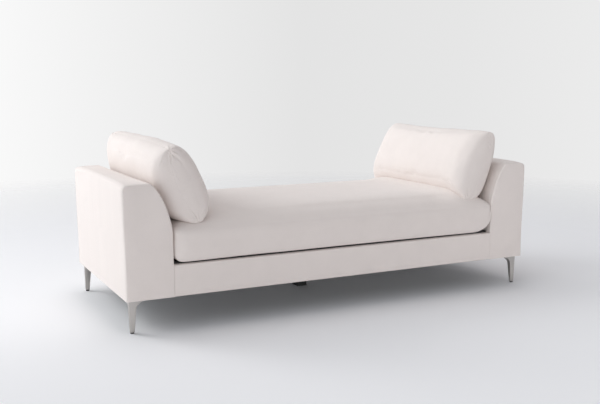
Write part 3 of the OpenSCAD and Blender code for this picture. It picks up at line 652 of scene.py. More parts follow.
def swell(piece, pressure, held=None):
    """Blows a closed cloth up a little, and keeps how far each point goes along its normal."""
    before = points_of(piece)
    out = normals_of(piece)
    cloth = piece.modifiers.new("Cloth", "CLOTH")
    settings = cloth.settings
    settings.quality = 5
    settings.mass = 0.25
    for name, value in CLOTH_STIFFNESS.items():
        setattr(settings, name, value)
    settings.use_pressure = True
    settings.uniform_pressure_force = pressure
    settings.effector_weights.gravity = 0
    cloth.collision_settings.use_collision = False
    if held is not None:
        pins = piece.vertex_groups.new(name="held")
        pins.add([int(k) for k in np.nonzero(held)[0]], 1.0, "REPLACE")
        settings.vertex_group_mass = "held"
    cloth.point_cache.frame_start = 1
    cloth.point_cache.frame_end = CLOTH_FRAMES
    scene = bpy.context.scene
    for moment in range(1, CLOTH_FRAMES + 1):
        scene.frame_set(moment)
    bpy.context.view_layer.update()
    after = points_of(piece.evaluated_get(bpy.context.evaluated_depsgraph_get()))
    piece.modifiers.remove(cloth)
    piece.vertex_groups.clear()
    scene.frame_set(1)
    rise = ((after - before) * out).sum(1)
    limit = np.where(rise > 0, SWELL_OUT, SWELL_IN)
    put_points(piece, before + out * (limit * np.tanh(rise / limit))[:, None])


# Seat cushion

SEAT_EDGE = 465 * MM
SEAT_CELL = 17 * MM
SIDE_CELL = 13 * MM
CROWN_END_POWER = 11
CROWN_FRONT_POWER = 7
CROWN_END_INSET = 8 * MM
CROWN_FRONT_INSET = 20 * MM
END_PUFF = 20 * MM
END_PUFF_POWER = 20
SEAT_HANG = 5.2 * MM
SEAT_BULGE = 19 * MM
SEAT_DRAW = 5 * MM
SEAT_WAVES = ((330, 12, 1.4), (120, 13, 0.5))
SEAT_GROOVE = 1.6 * MM
SEAT_PUCKER = 1.0 * MM
# The bottom seam's height, and the end seams' distance from the ends
SEAM_UP = 14 * MM
SEAM_IN = 16 * MM
# Runs in millimetres before the ends, or the front and back, over which a form comes in
PUFF_RUN = (-290, -130)
SQUEEZE_RUN = (-70, -25)
DRAW_RUN = (-60, -10)
LIFT_RUN = (-130, -40)
HANG_RUN = (-24, -9)
BULGE_RUN = (-110, -20)
# Radii of the edges towards the ends, towards front and back, and of the top or bottom
TOP_ROUND = np.array([12, 40, 40]) * MM
BOTTOM_ROUND = np.array([12, 16, 20]) * MM
# Width and height of the rounded bottom corners at the left and at the right end
CORNER_LIFTS = {-1: (42 * MM, 30 * MM), 1: (100 * MM, 72 * MM)}


def seat_crown(x, y):
    """Height of the seat's top above its edge."""
    _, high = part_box("seat_cover")
    crown = (high.z - SEAT_EDGE) * dome(x, high.x - CROWN_END_INSET, CROWN_END_POWER) * dome(
        y, high.y - CROWN_FRONT_INSET, CROWN_FRONT_POWER)
    puff = END_PUFF * ramp(x - high.x, *PUFF_RUN) * dome(
        x, high.x, END_PUFF_POWER) * dome(y, high.y, END_PUFF_POWER)
    return crown + puff


def round_box(points, half, radius):
    """Moves points of a box, centred on the origin, onto the same box with rounded edges."""
    inner = np.clip(points, -(half - radius), half - radius)
    away = (points - inner) / radius
    return inner + away / np.maximum(np.linalg.norm(away, axis=1, keepdims=True), 1) * radius


def seat_upholstery():
    """The bench cushion's cover: crowned, soft at its edges, with seams at its ends and bottom."""
    low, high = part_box("seat_cover")
    zip_low, zip_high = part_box("seat_zip")
    top = Vector((high.x, high.y, SEAT_EDGE))
    seat = block("seat_cushion_upholstery", low, top)
    with Bench(seat) as bench:
        for axis in (X, Y):
            bench.slice(axis, steps(low[axis], high[axis], SEAT_CELL))
        lips = [zip_low.z - 3 * MM, zip_low.z, zip_high.z, zip_high.z + 3 * MM]
        bench.slice(Z, lips + steps(low.z, lips[0], SIDE_CELL) + steps(lips[-1], top.z, SIDE_CELL))
    lay_cloth(seat)
    start = points_of(seat)
    middle = np.array((low + top) / 2)
    radius = np.where(start[:, Z:] > middle[Z], TOP_ROUND, BOTTOM_ROUND)
    points = round_box(start - middle, np.array((top - low) / 2), radius) + middle
    x, y, z = points.T
    rise = (z - low.z) / (top.z - low.z)
    z += fade(rise, 0.7, 1.0) * (seat_crown(x, y) - 3 * MM)
    at_side = ramp(abs(y) - high.y, *DRAW_RUN)
    y -= np.sign(y) * at_side * SEAT_DRAW * dome(x, high.x)
    at_edge = ramp(abs(y) - high.y, *LIFT_RUN)
    for end, (width, height) in CORNER_LIFTS.items():
        turn = np.clip((end * x - high.x + width) / width, 0, 1)
        z += (1 - np.clip(rise, 0, 1)) * (1 - np.sqrt(1 - turn ** 2)) * height * at_edge
    put_points(seat, points)
    swell(seat, 3.0, held=rise < 0.02)
    blown = points_of(seat)
    squeezed = ramp(abs(x) - high.x, *SQUEEZE_RUN)
    blown[:, X] += (x - blown[:, X]) * squeezed
    blown[:, Y] *= high.y / abs(blown[:, Y]).max()
    put_points(seat, blown)
    settle_seat(seat, low, high, zip_low, zip_high)
    return smooth(modify(seat, "SUBSURF", levels=1, render_levels=1), 70)


def settle_seat(seat, low, high, zip_low, zip_high):
    """Keeps the cushion in its space, and adds its seams and the pocket of its zip."""
    points = points_of(seat)
    out = normals_of(seat)
    x, y, z = points.T
    bottom_seam = np.where(abs(out[:, Z]) < 0.8, abs(z - low.z - SEAM_UP), 1)
    from_seam = np.minimum(bottom_seam, abs(abs(x) - high.x + SEAM_IN))
    groove = SEAT_GROOVE * bell(from_seam, 5 * MM)
    pucker = SEAT_PUCKER * np.exp(-from_seam / (22 * MM)) * abs(ripple(points, 48, 11))
    move = waves(points, SEAT_WAVES) - pucker - groove
    points += out * (ramp(z - low.z, 0, 20) * move)[:, None]
    x[:] = np.clip(x, low.x, high.x)
    y[:] = np.clip(y, low.y - 3 * MM, high.y + 3 * MM)
    z[:] = np.clip(z, low.z, SEAT_EDGE + seat_crown(x, y))
    hang = SEAT_HANG + 1.2 * MM * ripple(points * [1, 0, 0], 420, 14)
    hang *= ramp(abs(y) - high.y, *HANG_RUN)
    z -= hang * ramp(z - low.z, 60, 10)
    level = np.clip((z - low.z) / (SEAT_EDGE + 20 * MM - low.z), 0, 1)
    arch = 0.25 + 0.75 * dome(2 * level - 1, 1, 2.5)
    front = ramp(-y - high.y, *BULGE_RUN)
    y -= SEAT_BULGE * front * arch * ramp(x - low.x, -10, 60)
    at_back = out[:, Y] > 0.6
    valley = bell(z - (zip_low.z + zip_high.z) / 2, 24 * MM) * ramp(abs(x) - zip_high.x, 50, 0)
    y += at_back * valley * (np.minimum(y, zip_high.y + 4 * MM) - y)
    beyond = np.maximum(np.maximum(zip_low.z - z, z - zip_high.z), abs(x) - zip_high.x)
    y += at_back * ramp(beyond, 2.8, 0.2) * (zip_low.y - 0.4 * MM - y)
    put_points(seat, points)


# Pillows

ZIP_TAPE_W = 18 * MM
PILLOW_ZIP_L = 600 * MM
# Face of the zip's tape that lies on the fill, on the pillow's height
PILLOW_ZIP_V = -164.84 * MM
LEAN = math.radians(22)
PILLOW = Vector((898, 400, 230)) * MM
PILLOW_MIDDLE = Vector((-815, 0, 649)) * MM
EAR_RUN = 400 * MM
EAR_POWER = 1.6
END_THICK = 0.42
PILLOW_POWER = 2.7
PILLOW_DRAW = 13 * MM
FOOT = 0.08
ARM_GAP = 0.9 * MM
SEAT_GAP = 2.2 * MM
PILLOW_WAVES = ((260, 1, 2.4), (120, 2, 1.0))
# Directions of the pleats from a corner in degrees, off the line to the middle of the end
PLEATS = (-64, -38, -14, 10, 34, 60, 122, 150, 178, 206, 234)
SEAM_BOW = 26 * MM
# Of each pleat: most turn in degrees, least and most length and depth in millimetres
PLEAT_TURN = 9
PLEAT_LENGTHS = (40, 84)
PLEAT_DEPTHS = (1.8, 4.2)
# Distance of the gathered corners from the ends and from the seam's top and bottom
CORNER_IN = 14 * MM
CORNER_DOWN = 10 * MM
# Runs in millimetres before the ends, and before the top and bottom, where the seam shows
END_RUN = (-70, -20)
RIM_RUN = (-40, -18)
# Size before the simulation, as a share of the final one
BEFORE_SWELLING = 0.97
# ends: run over which the front and the back end narrow. draw and draw_power: how the bottom is
# drawn up between its corners. heel: lift of the bottom beside the arm. ears and gathers: height
# left and strength of the pleats at each corner, front or back, bottom or top. creases, in
# millimetres: from, to, depth, width
LEFT_PILLOW = {
    "seed": 5, "ends": {-1: 66 * MM, 1: 66 * MM}, "draw": 13 * MM, "draw_power": 2, "heel": 24 * MM,
    "ears": {(-1, 1): 0.82, (-1, -1): 0.94, (1, 1): 0.95, (1, -1): 0.94},
    "gathers": {(-1, 1): 1.0, (-1, -1): 0.55, (1, 1): 0.8, (1, -1): 0.6},
    "creases": (
        ((6, -440, 156), (-14, -447, 104), 3.6, 3.4), ((-22, -440, 152), (-72, -436, 106), 3.2, 4.2),
        ((-22, -448, -22), (38, -447, -6), 2.0, 3.2), ((-40, -447, 62), (-16, -448, 56), 2.0, 3.2),
        ((-48, -446, -28), (-16, -448, -50), 2.2, 3.4), ((-24, -440, -176), (24, -442, -170), 1.8, 3.0),
        ((24, -442, -170), (58, -438, -146), 1.8, 3.0))}
RIGHT_PILLOW = {
    "seed": 8, "ends": {-1: 80 * MM, 1: 46 * MM}, "draw": 31 * MM, "draw_power": 5, "heel": 8 * MM,
    "ears": {(-1, 1): 0.95, (-1, -1): 0.97, (1, 1): 0.98, (1, -1): 0.95},
    "gathers": {(-1, 1): 0.45, (-1, -1): 0.9, (1, 1): 0.5, (1, -1): 0.9},
    "creases": (
        ((96, 330, -140), (104, 318, -100), 2.4, 5.0), ((100, 200, -140), (106, 190, -108), 2.0, 5.0),
        ((92, -380, -150), (100, -350, -112), 2.6, 5.0), ((40, -446, -150), (20, -449, -100), 2.0, 4.0))}


def from_pillow(points):
    """Points in the pillow's own axes, thickness, length and height, as points in the room."""
    c, s = math.cos(LEAN), math.sin(LEAN)
    u, y, v = points.T
    return np.c_[u * c - v * s, y, u * s + v * c] + np.array(PILLOW_MIDDLE)


def stuffed_form(start, half, form):
    """Turns the points of a box of the pillow's size into its stuffed form, in its own axes."""
    thick, long, high = (start / half).T
    along = abs(long)
    narrow = np.where(long < 0, form["ends"][-1], form["ends"][1])
    flat = 1 - narrow / half[Y]
    a = np.clip((along - flat) / (1 - flat), 0, 1) * math.pi / 2
    y = np.sign(long) * np.where(along < flat, along * half[Y], half[Y] - narrow * (1 - np.sin(a)))
    reach = np.maximum(abs(thick), abs(high))
    bow = (abs(thick) ** PILLOW_POWER + abs(high) ** PILLOW_POWER) ** (1 / PILLOW_POWER)
    onto = reach / np.maximum(bow, 1e-6)
    u = thick * onto * half[X] * (1 - (1 - END_THICK) * (1 - np.cos(a)))
    near_end = np.clip((abs(y) - half[Y] + EAR_RUN) / EAR_RUN, 0, 1) ** EAR_POWER
    left = np.ones(len(start))
    for (end, rise), ear in form["ears"].items():
        left = np.where((np.sign(y) == end) & (np.sign(high) == rise), ear, left)
    draw = np.where(high < 0, form["draw"] * dome(y, half[Y], form["draw_power"]),
                    PILLOW_DRAW * dome(y, half[Y]))
    v = high * onto * (half[Z] - draw) * (1 - (1 - left) * near_end)
    v += form["heel"] * ramp(-u, 10, 110) * ramp(-v, 50, 180)
    return np.c_[u * (1 - FOOT * high), y, v]


def clear_of_neighbours(points):
    """Pulls points towards the pillow's middle line until they clear the left arm and the seat."""
    _, arm_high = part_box("left_arm_cover")
    a = SLOPE_W + ARM_GAP
    b = SLOPE_H + ARM_GAP

    def clear(q):
        x, y, z = q.T
        u = x - (arm_high.x - SLOPE_W)
        w = z - (arm_high.z - SLOPE_H)
        bow = (np.maximum(u, 0) / a) ** SLOPE_POWER + (np.maximum(w, 0) / b) ** SLOPE_POWER
        off_arm = (u > a) | (w > b) | ((u > 0) & (w > 0) & (bow > 1))
        return off_arm & (z > SEAT_EDGE + seat_crown(x, y) + SEAT_GAP)

    line = points * [0, 1, 0] + [PILLOW_MIDDLE.x, 0, PILLOW_MIDDLE.z]
    near_end = np.zeros(len(points))
    far_end = np.ones(len(points))
    for _ in range(14):
        half = (near_end + far_end) / 2
        ok = clear(line + (points - line) * half[:, None])
        near_end = np.where(ok, half, near_end)
        far_end = np.where(ok, far_end, half)
    pulled = line + (points - line) * near_end[:, None]
    return np.where(clear(points)[:, None], points, pulled)


def pillow_upholstery(side, form):
    """One pillow's cover, modelled for the left arm: a centre seam and gathered corners."""
    half = np.array([PILLOW.z / 2, PILLOW.x / 2, PILLOW.y / 2])
    pillow = block(f"{side}_pillow_upholstery", -half, half)
    with Bench(pillow) as bench:
        bench.slice(X, steps(-half[X], half[X], 14 * MM))
        bench.slice(Y, banded(half[Y], 88 * MM, 10 * MM, 21 * MM))
        bench.slice(Z, banded(half[Z], 60 * MM, 10 * MM, 20 * MM))
    lay_cloth(pillow)
    put_points(pillow, stuffed_form(points_of(pillow), half, form) * BEFORE_SWELLING)
    with Bench(pillow):
        bpy.ops.mesh.select_all(action="SELECT")
        bpy.ops.mesh.vertices_smooth(factor=0.5, repeat=2)
    swell(pillow, 4.0)
    points = points_of(pillow)
    points *= (half - np.array([1, 1, 3]) * MM) / abs(points).max(0)
    floor = -half[Z] + form["draw"] * dome(points[:, Y], half[Y], form["draw_power"])
    points[:, Z] = np.maximum(points[:, Z], floor)
    put_points(pillow, points)
    modify(pillow, "SUBSURF", levels=2, render_levels=2)
    points = wrinkled(pillow, half, form)
    in_place = clear_of_neighbours(from_pillow(points))
    u, y, v = points.T
    beyond = np.maximum(abs(u) - ZIP_TAPE_W / 2, abs(y) - PILLOW_ZIP_L / 2)
    depth = ramp(beyond, 3.5, 0.5) * (v < -100 * MM)
    bed = from_pillow(points * [1, 1, 0] + [0, 0, PILLOW_ZIP_V + 0.4 * MM])
    put_points(pillow, in_place + (bed - in_place) * depth[:, None])
    return smooth(pillow, 80)


def fold(distance, width):
    """Section of a fold in cloth: a valley with a low rim on both sides."""
    return bell(distance, width) - 0.4 * bell(distance - 2 * width, width)


def wrinkled(pillow, half, form):
    """The pillow's points with its seam, the pleats at its corners and its drag lines."""
    points = points_of(pillow)
    out = normals_of(pillow)
    seed = form["seed"]
    rng = np.random.default_rng(seed)
    u, y, v = points.T
    at_end = ramp(abs(y) - half[Y], *END_RUN)
    from_seam = abs(u + SEAM_BOW * dome(v, half[Z] - 40 * MM) * at_end)
    edge = np.maximum(at_end, ramp(abs(v) - half[Z], *RIM_RUN))
    at_corner = ramp(abs(v), 90, 170)
    sink = (0.4 + 0.9 * at_corner) * MM * bell(from_seam, 2.6 * MM) * edge
    sink += 1.6 * MM * np.exp(-from_seam / (13 * MM)) * np.clip(ripple(points, 26, seed), 0, 1) * edge
    for (end, rise), strength in form["gathers"].items():
        height = half[Z] * form["ears"][end, rise] - CORNER_DOWN
        away = points - np.array([0, end * (half[Y] - CORNER_IN), rise * height])
        down = (end * away[:, Y] - rise * away[:, Z]) / math.sqrt(2)
        reach = np.linalg.norm(away, axis=1)
        turn = np.arctan2(away[:, X], down)
        off_axis = np.hypot(away[:, X], down)
        for pleat in PLEATS:
            angle = math.radians(pleat + rng.uniform(-PLEAT_TURN, PLEAT_TURN))
            length = rng.uniform(*PLEAT_LENGTHS) * MM
            gap = off_axis * abs((turn - angle + math.pi) % (2 * math.pi) - math.pi)
            run = ramp(reach, 6, 20) * fade(reach, length, 0.35 * length)
            depth = strength * rng.uniform(*PLEAT_DEPTHS) * MM
            sink += depth * fold(gap, 2.4 * MM + 0.055 * reach) * run
    for start, end, depth, width in form["creases"]:
        start, end = (np.array(place) * MM for place in (start, end))
        along = end - start
        t = np.clip((points - start) @ along / (along @ along), 0, 1)
        gap = np.linalg.norm(points - start - t[:, None] * along, axis=1)
        sink += depth * MM * fold(gap, width * MM) * (0.35 + 2.6 * t * (1 - t))
    return points + out * (waves(points, PILLOW_WAVES, seed) - sink)[:, None]


# Legs

PLATE = Vector((95, 80)) * MM
PLATE_T = 3 * MM
NECK = Vector((32, 24)) * MM
FOOT_SIZE = Vector((20, 13)) * MM
FLARE = 43 * MM
LEG_LEAN = 3 * MM
# Places of the screws, as shares of the plate's length and depth
SCREW_SHARES = ((0.86, 0.3), (0.86, 0.8), (0.45, 0.85))
SCREW_R = 2.45 * MM
SCREW_HEAD_R = 4.7 * MM


def leg_section(height, low, high):
    """How far a leg's cross-section is set in from its corner at a height, and its size."""
    neck_z = high.z - FLARE
    lean = LEG_LEAN * (high.z - height) / (high.z - low.z)
    if height <= neck_z:
        part = (height - low.z) / (neck_z - low.z)
        size = FOOT_SIZE.lerp(NECK, part) + Vector((LEG_LEAN, LEG_LEAN)) * (1 - part)
    else:
        rise = min(1, (height - neck_z) / (FLARE - PLATE_T))
        size = NECK.lerp(PLATE, 1 - math.cos(math.asin(rise)))
    return lean, size - Vector((lean, lean))


def metal_leg():
    """The front left leg: a tapered bar that flares into its plate, with recessed screw holes."""
    low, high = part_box("front_left_leg")
    neck_z = high.z - FLARE
    heights = [low.z + (neck_z - low.z) * k / 8 for k in range(9)]
    heights += [neck_z + (FLARE - PLATE_T) * math.sin(math.radians(a)) for a in range(9, 91, 9)]
    heights += [high.z]
    bpy.ops.mesh.primitive_plane_add(size=1, location=(0, 0, heights[0]))
    leg = added("front_left_metal_leg")
    with Bench(leg):
        bpy.ops.mesh.select_all(action="SELECT")
        for lower, upper in zip(heights, heights[1:]):
            bpy.ops.mesh.extrude_region_move(TRANSFORM_OT_translate={"value": (0, 0, upper - lower)})
    points = points_of(leg)
    for point in points:
        lean, size = leg_section(point[Z], low, high)
        for axis in (X, Y):
            point[axis] = low[axis] + lean + size[axis] * (point[axis] > 0)
    put_points(leg, points)
    with Bench(leg):
        bpy.ops.mesh.select_all(action="SELECT")
        bpy.ops.mesh.normals_make_consistent(inside=False)
    ease(leg, 1.8 * MM, 3, 50)
    drills = []
    for along, deep in SCREW_SHARES:
        place = (low.x + along * PLATE.x, low.y + deep * PLATE.y, 0)
        drills.append(rod("drill", place, SCREW_R, high.z + 5 * MM))
        drills.append(rod("head_drill", place, SCREW_HEAD_R, high.z - PLATE_T))
    cut_out(leg, drills)
    return smooth(leg, 35)


def leg_pad():
    """The front left leg's glide, a small block with a softened foot."""
    low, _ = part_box("leg_glides")
    leg_low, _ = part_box("front_left_leg")
    size = FOOT_SIZE - Vector((4, 4)) * MM
    pad = block("front_left_glide", low, low + Vector((size.x, size.y, leg_low.z - low.z)))
    return smooth(ease(pad, 1.2 * MM, 3), 40)


def middle_leg():
    """The black block under the middle, with eased edges and a groove above its foot."""
    low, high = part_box("centre_leg")
    foot, rim = low.z + 5 * MM, low.z + 7 * MM
    leg = block("centre_leg_block", low, high)
    with Bench(leg) as bench:
        bench.slice(Z, [foot, rim, (low.z + high.z) / 2])
        bench.pick("faces", lambda f: foot < f.calc_center_median().z < rim)
        bpy.ops.transform.resize(value=(0.965, 0.972, 1), center_override=(low + high) / 2)
    return smooth(ease(leg, 1.0 * MM, 3, 40), 40)


# Deck and dust cover

DECK_DIP = 1.0 * MM
DUST_HEM = 14 * MM
DUST_SAG = 3.0 * MM
DUST_CREASE = 0.8 * MM


def upright(edge):
    start, end = (vert.co for vert in edge.verts)
    return near(start.x, end.x) and near(start.y, end.y)


def deck_cloth():
    """The dark cloth over the deck pad, turned down all round."""
    low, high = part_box("deck_cover")
    deck = block("deck_cloth", low, high)
    with Bench(deck) as bench:
        bench.round_off(lambda e: on_plane(e, Z, high.z) or upright(e), 4 * MM, 3)
        for axis in (X, Y):
            bench.slice(axis, steps(low[axis], high[axis], 30 * MM))
        bench.cut_away(lambda f: on_plane(f, Z, low.z))
    lay_cloth(deck)
    points = points_of(deck)
    top = normals_of(deck)[:, Z] > 0.9
    dip = DECK_DIP * (1 + ripple(points, 200, 21))
    points[:, Z] -= top * np.clip(dip, 0, 2.2 * MM)
    put_points(deck, points)
    return smooth(modify(deck, "SOLIDIFY", thickness=1.6 * MM, offset=-1))


def dust_cloth():
    """The black cloth under the frame, flat along its edges, with a slight sag between the rails."""
    low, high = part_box("dust_cover")
    cloth = block("dust_cover_cloth", low, high)
    with Bench(cloth) as bench:
        for axis in (X, Y):
            start, end = low[axis] + DUST_HEM, high[axis] - DUST_HEM
            bench.slice(axis, [start, start + 2 * MM, end - 2 * MM, end] + steps(start, end, 26 * MM))
    lay_cloth(cloth)
    points = points_of(cloth)
    x, y, z = points.T
    in_x = np.minimum(x - low.x, high.x - x)
    in_y = np.minimum(y - low.y, high.y - y)
    leg_low, leg_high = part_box("centre_leg")
    to_leg = np.hypot(np.maximum(leg_low.x - x, x - leg_high.x).clip(0),
                      np.maximum(leg_low.y - y, y - leg_high.y).clip(0))
    sag = ramp(in_x, 140, 420) * ramp(in_y, 60, 260) * ramp(to_leg, 10, 160)
    crease = abs(ripple(points, 150, 31)) * ramp(np.minimum(in_x, in_y), 16, 90)
    free = ramp(in_x, 120, 160) * ramp(to_leg, 10, 60)
    z -= DUST_SAG * sag + DUST_CREASE * crease * free
    put_points(cloth, points)
    return smooth(cloth)


# Zips

ZIP_TAPE_T = 1.2 * MM
ZIP_STOP = 12 * MM
SEAT_ZIP_L = 1500 * MM
STITCH_INSET = 4 * MM
TOOTH_PITCH = 2.5 * MM
TOOTH = Vector((1.7, 3.8, 1.5)) * MM
SLIDER_GAP = 0.3 * MM
# Height of the slider's upper plate above the foot of its flanges, in millimetres
PLATE_RISE = 2.0


def zip_chain(name, length):
    """A closed zip along X, its teeth towards +Z: woven tape with stitch lines, coil teeth and end stops."""
    half = Vector((length / 2, ZIP_TAPE_W / 2, 0))
    tape = block(name, -half, half + Vector((0, 0, ZIP_TAPE_T)))
    stitch = half.y - STITCH_INSET
    with Bench(tape) as bench:
        bench.slice(Y, [side * stitch + off for side in (-1, 1) for off in (-0.5 * MM, 0, 0.5 * MM)])
        bench.slice(X, steps(-half.x, half.x, 10 * MM))
        bench.pick("verts", lambda v: near(v.co.z, ZIP_TAPE_T) and near(abs(v.co.y), stitch))
        bpy.ops.transform.translate(value=(0, 0, -0.25 * MM))
    ease(tape, 0.2 * MM, 1, 60)
    foot = ZIP_TAPE_T - 0.1 * MM
    corner = Vector((-half.x + ZIP_STOP / 2, -TOOTH.y / 2, foot))
    teeth = ease(block("zip_teeth", corner, corner + TOOTH), 0.45 * MM, 1)
    modify(teeth, "ARRAY", count=int((length - ZIP_STOP) / TOOTH_PITCH), use_relative_offset=False,
           use_constant_offset=True, constant_offset_displace=(TOOTH_PITCH, 0, 0))
    stops = []
    for end in (-1, 1):
        middle = Vector((end * (half.x - ZIP_STOP / 4), 0, foot))
        stop = block("zip_stop", middle - Vector((1.5, 2.2, 0)) * MM, middle + Vector((1.5, 2.2, 1.7)) * MM)
        stops.append(ease(stop, 0.5 * MM, 2))
    chain = join(name, [tape, teeth] + stops)
    lay_cloth(chain)
    return smooth(chain, 35)


def zip_slider(name, length):
    """The slider at its start: a plate that narrows to the back, two flanges, a bail and a flat pull."""
    plate_z = ZIP_TAPE_T + SLIDER_GAP + PLATE_RISE * MM
    back = Vector((-length / 2 + ZIP_STOP, 0, plate_z))

    def bar(part, run, half_width, rise, y=0.0):
        """A block over runs in millimetres along X and Z from the back of the upper plate."""
        corners = ((x, y + side * half_width, z) for x, side, z in zip(run, (-1, 1), rise))
        return block(part, *(back + Vector(corner) * MM for corner in corners))

    def end_edges(reach):
        return lambda e: on_plane(e, X, back.x + reach * MM) and upright(e)

    plate = bar(name, (0, 12), 4.5, (0, 0.9))
    with Bench(plate) as bench:
        bench.round_off(end_edges(0), 2.4 * MM, 4)
        bench.round_off(end_edges(12), 1.2 * MM, 3)
    flanges = [bar("slider_flange", (1.5, 11), 0.45, (-PLATE_RISE, 0.3), y) for y in (-3.87, 3.87)]
    bail = bar("slider_bail", (2.5, 9), 0.9, (0.8, 2))
    with Bench(bail) as bench:
        bench.round_off(lambda e: on_plane(e, Z, plate_z + 2 * MM) and any(
            on_plane(e, X, back.x + reach * MM) for reach in (2.5, 9)), 0.8 * MM, 3)
    cut_out(bail, [bar("bail_window", (4, 7.5), 2, (1.2, 1.5))])
    pull = bar("slider_pull", (5, 22), 2.6, (1.25, 1.95))
    with Bench(pull) as bench:
        bench.slice(X, [back.x + reach * MM for reach in (7.2, 9.5, 13)])
        bench.pick("verts", lambda v: v.co.x < back.x + 8 * MM)
        bpy.ops.transform.resize(value=(1, 0.62, 1), center_override=back)
        bench.round_off(end_edges(22), 2.0 * MM, 5)
    hole = rod("pull_hole", back + Vector((18, 0, 0)) * MM, 1.1 * MM, 3 * MM)
    cut_out(pull, [hole, bar("pull_eye", (6.2, 8.4), 1.1, (0, 3))])
    for part, width in ((plate, 0.25), (bail, 0.2), (pull, 0.15)):
        ease(part, width * MM, 2, 40)
    return smooth(join(name, [plate, bail, pull] + flanges), 40)


def zip_up():
    """The zips in their pockets: at the back of the seat and under both pillows."""
    low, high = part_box("seat_zip")
    at_back = (Matrix.Translation((0, low.y, (low.z + high.z) / 2))
               @ Matrix.Rotation(-math.pi / 2, 4, "X"))
    under = (Matrix.Translation(PILLOW_MIDDLE) @ Matrix.Rotation(-LEAN, 4, "Y")
             @ Matrix.Translation((0, 0, PILLOW_ZIP_V)) @ Matrix.Rotation(math.pi, 4, Vector((1, 1, 0))))
    made = {}
    for cushion, length, place in (("seat", SEAT_ZIP_L, at_back), ("left_pillow", PILLOW_ZIP_L, under)):
        made[cushion] = (zip_chain(f"{cushion}_zip_chain", length), zip_slider(f"{cushion}_zip_pull", length))
        for piece in made[cushion]:
            piece.data.transform(place)
            piece.data.update()
    chain, slider = made["left_pillow"]
    made["right_pillow"] = (twin(chain, "right_pillow_zip_chain", [X]),
                            twin(slider, "right_pillow_zip_pull", [X]))
    for cushion, (chain, slider) in made.items():
        body = "seat_cushion" if cushion == "seat" else cushion
        dress(chain, "zip_tape", body, f"{cushion}_zip")
        dress(slider, "zip_metal", f"{cushion}_zip_slider", f"{cushion}_zip_slider")


# Build the divan

def upholster_frame():
    """The fixed covers: arms, rails, deck and dust cover."""
    for form, name, other, flip in ((arm_upholstery, "left_arm", "right_arm", X),
                                    (rail_upholstery, "front_rail", "back_rail", Y)):
        cover = form()
        copy = twin(cover, f"{other}_upholstery", [flip])
        dress(cover, "upholstery_cloth", "frame", f"{name}_cover")
        dress(copy, "upholstery_cloth", "frame", f"{other}_cover")
    deck = dress(deck_cloth(), "deck_cloth", "frame", "deck_cover")
    dust = dress(dust_cloth(), "dust_cloth", "frame", "dust_cover")


def stand_on_legs():
    """Four metal legs with their glides, and the block under the middle."""
    corners = {"front_left": [], "front_right": [X], "back_left": [Y], "back_right": [X, Y]}
    leg = metal_leg()
    pad = leg_pad()
    legs = [leg] + [twin(leg, f"{name}_metal_leg", flips) for name, flips in corners.items() if flips]
    pads = [pad] + [twin(pad, f"{name}_glide", flips) for name, flips in corners.items() if flips]
    for name, piece in zip(corners, legs):
        dress(piece, "leg_metal", "frame", f"{name}_leg")
    dress(join("glide_pads", pads), "black_plastic", "frame", "leg_glides")
    dress(middle_leg(), "black_wood", "frame", "centre_leg")


def lay_cushions():
    """The seat cushion and both pillows. The right pillow is modelled on the left and mirrored."""
    seat = dress(seat_upholstery(), "upholstery_cloth", "seat_cushion", "seat_cover")
    left = pillow_upholstery("left", LEFT_PILLOW)
    mirrored = pillow_upholstery("mirrored", RIGHT_PILLOW)
    right = twin(mirrored, "right_pillow_upholstery", [X])
    bpy.data.objects.remove(mirrored)
    for side, pillow in (("left", left), ("right", right)):
        dress(pillow, "upholstery_cloth", f"{side}_pillow", f"{side}_pillow_cover")


def finish_inside():
    """Gives every CAD node its material, the inner ones too."""
    for part in frame["record"]["subparts"]:
        node = frame["nodes"][part["node"]]
        node.data.materials.clear()
        node.data.materials.append(FINISHES[part["material_slot"]])


# Studio

FLOOR_SIZE = 14.0
# Radius at which the floor starts to fade, and the run over which it is gone
FLOOR_FADE = (2.6, 3.2)
# Grey of the backdrop along X in the direction of sight: painted light, brightest at the left, darkest near
# the middle and lighter again to the right
BACKDROP_PAINTED_LIGHT = ((0.12, 0.95), (0.26, 0.87), (0.45, 0.775), (0.6, 0.79), (0.75, 0.84))
# Name, place, aim, size and power
LAMPS = (("key", (-5.0, 5.0, 3.9), (0, 0, 0.4), (3.0, 3.0), 114),
         ("left", (-2.9, 1.4, 2.2), (-0.95, 0, 0.6), (1.2, 1.2), 13),
         ("overhead", (0.2, 0.6, 5.0), (0.2, 0, 0.3), (3.0, 3.0), 32),
         ("front fill", (1.7, -7.0, 1.7), (0, 0, 0.25), (5.0, 1.6), 110))
CAMERA_PLACE = (-2.0223, -3.9999, 1.1043)
# Yaw, pitch and roll in degrees
CAMERA_TURN = (26.6, 8.2, -0.11)
CAMERA_LENS = 51.19


def studio_floor():
    """A pale floor round the divan that fades into the backdrop."""
    bpy.ops.mesh.primitive_plane_add(size=1)
    floor = added("studio_floor", (FLOOR_SIZE, FLOOR_SIZE, 1))
    finish = Finish("studio paper", Roughness=0.8)
    point = finish.place()
    cloud = finish.noise(point, 0.6, 2.0)
    finish.feed(Base_Color=finish.blend(cloud, (0.93, 0.928, 0.94, 1), (0.945, 0.943, 0.955, 1)))
    across, along, _ = finish.axes(point)
    start, run = FLOOR_FADE
    gone = (((across * across + along * along) ** 0.5 - start) / run).clamp()
    paper = Level(finish, finish.shader.outputs[0])
    mix = finish.node("ShaderNodeMixShader", (gone, paper, finish.node("ShaderNodeBsdfTransparent")))
    finish.link(mix, finish.tree.nodes["Material Output"].inputs["Surface"])
    floor.data.materials.append(finish.material)


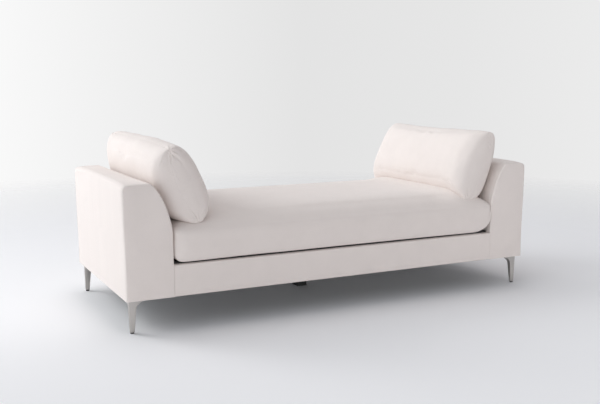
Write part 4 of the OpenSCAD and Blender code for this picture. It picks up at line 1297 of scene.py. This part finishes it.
def lamp(name, place, aim, size, power):
    data = bpy.data.lights.new(name, "AREA")
    data.shape = "RECTANGLE"
    data.size, data.size_y = size
    data.energy = power
    light = bpy.data.objects.new(name, data)
    light.location = place
    light.rotation_euler = (Vector(aim) - Vector(place)).to_track_quat("-Z", "Y").to_euler()
    bpy.context.scene.collection.objects.link(light)


def world_light(even, left, back):
    """Soft light from all round and more from two sides, and the pale backdrop that shows, with painted light
    falling off across it.
    """
    world = bpy.data.worlds.new("studio")
    bpy.context.scene.world = world
    world.use_nodes = True
    world.node_tree.nodes.clear()
    bed = Bed(world.node_tree)
    across, along, _ = bed.axes(bed.node("ShaderNodeTexCoord"))
    light = even
    for way, colour in ((across * -1.0, left), (along * 1.0, back)):
        share = bed.node("ShaderNodeVectorMath", {0: colour, 3: way.clamp()}, operation="SCALE")
        light = bed.node("ShaderNodeVectorMath", (light, share), operation="ADD")
    # Painted light on the backdrop: its grey is brightest at the left and falls off towards the middle
    painted_falloff_greys = bed.node("ShaderNodeValToRGB", (across,))
    stops = painted_falloff_greys.socket.node.color_ramp.elements
    for place, grey in BACKDROP_PAINTED_LIGHT:
        stops.new(place).color = (grey, grey, grey, 1)
    stops.remove(stops[-1])
    stops.remove(stops[0])
    path = bed.node("ShaderNodeLightPath").socket.node.outputs
    seen = Level(bed, path["Is Camera Ray"])
    for ray in ("Is Glossy Ray", "Is Transmission Ray"):
        seen = seen.math("MAXIMUM", seen, Level(bed, path[ray]))
    lit = bed.node("ShaderNodeBackground", {"Color": light})
    backdrop = bed.node("ShaderNodeBackground", {"Color": painted_falloff_greys})
    mix = bed.node("ShaderNodeMixShader", (seen, lit, backdrop))
    bed.node("ShaderNodeOutputWorld", {"Surface": mix})


def set_camera():
    """The photograph's viewpoint, worked out from the divan's edges."""
    data = bpy.data.cameras.new("camera")
    data.sensor_width = 36
    data.lens = CAMERA_LENS
    camera = bpy.data.objects.new("camera", data)
    yaw, pitch, roll = (math.radians(a) for a in CAMERA_TURN)
    turn = (Matrix.Rotation(-yaw, 4, "Z") @ Matrix.Rotation(math.pi / 2 - pitch, 4, "X")
            @ Matrix.Rotation(roll, 4, "Z"))
    camera.matrix_world = Matrix.Translation(CAMERA_PLACE) @ turn
    bpy.context.scene.collection.objects.link(camera)
    bpy.context.scene.camera = camera


set_camera()
finish_inside()
upholster_frame()
stand_on_legs()
lay_cushions()
zip_up()
studio_floor()
world_light(even=(0.165, 0.16, 0.175), left=(1.07, 1.14, 1.17), back=(0.76,) * 3)
for row in LAMPS:
    lamp(*row)
bpy.context.scene.view_settings.view_transform = "Standard"
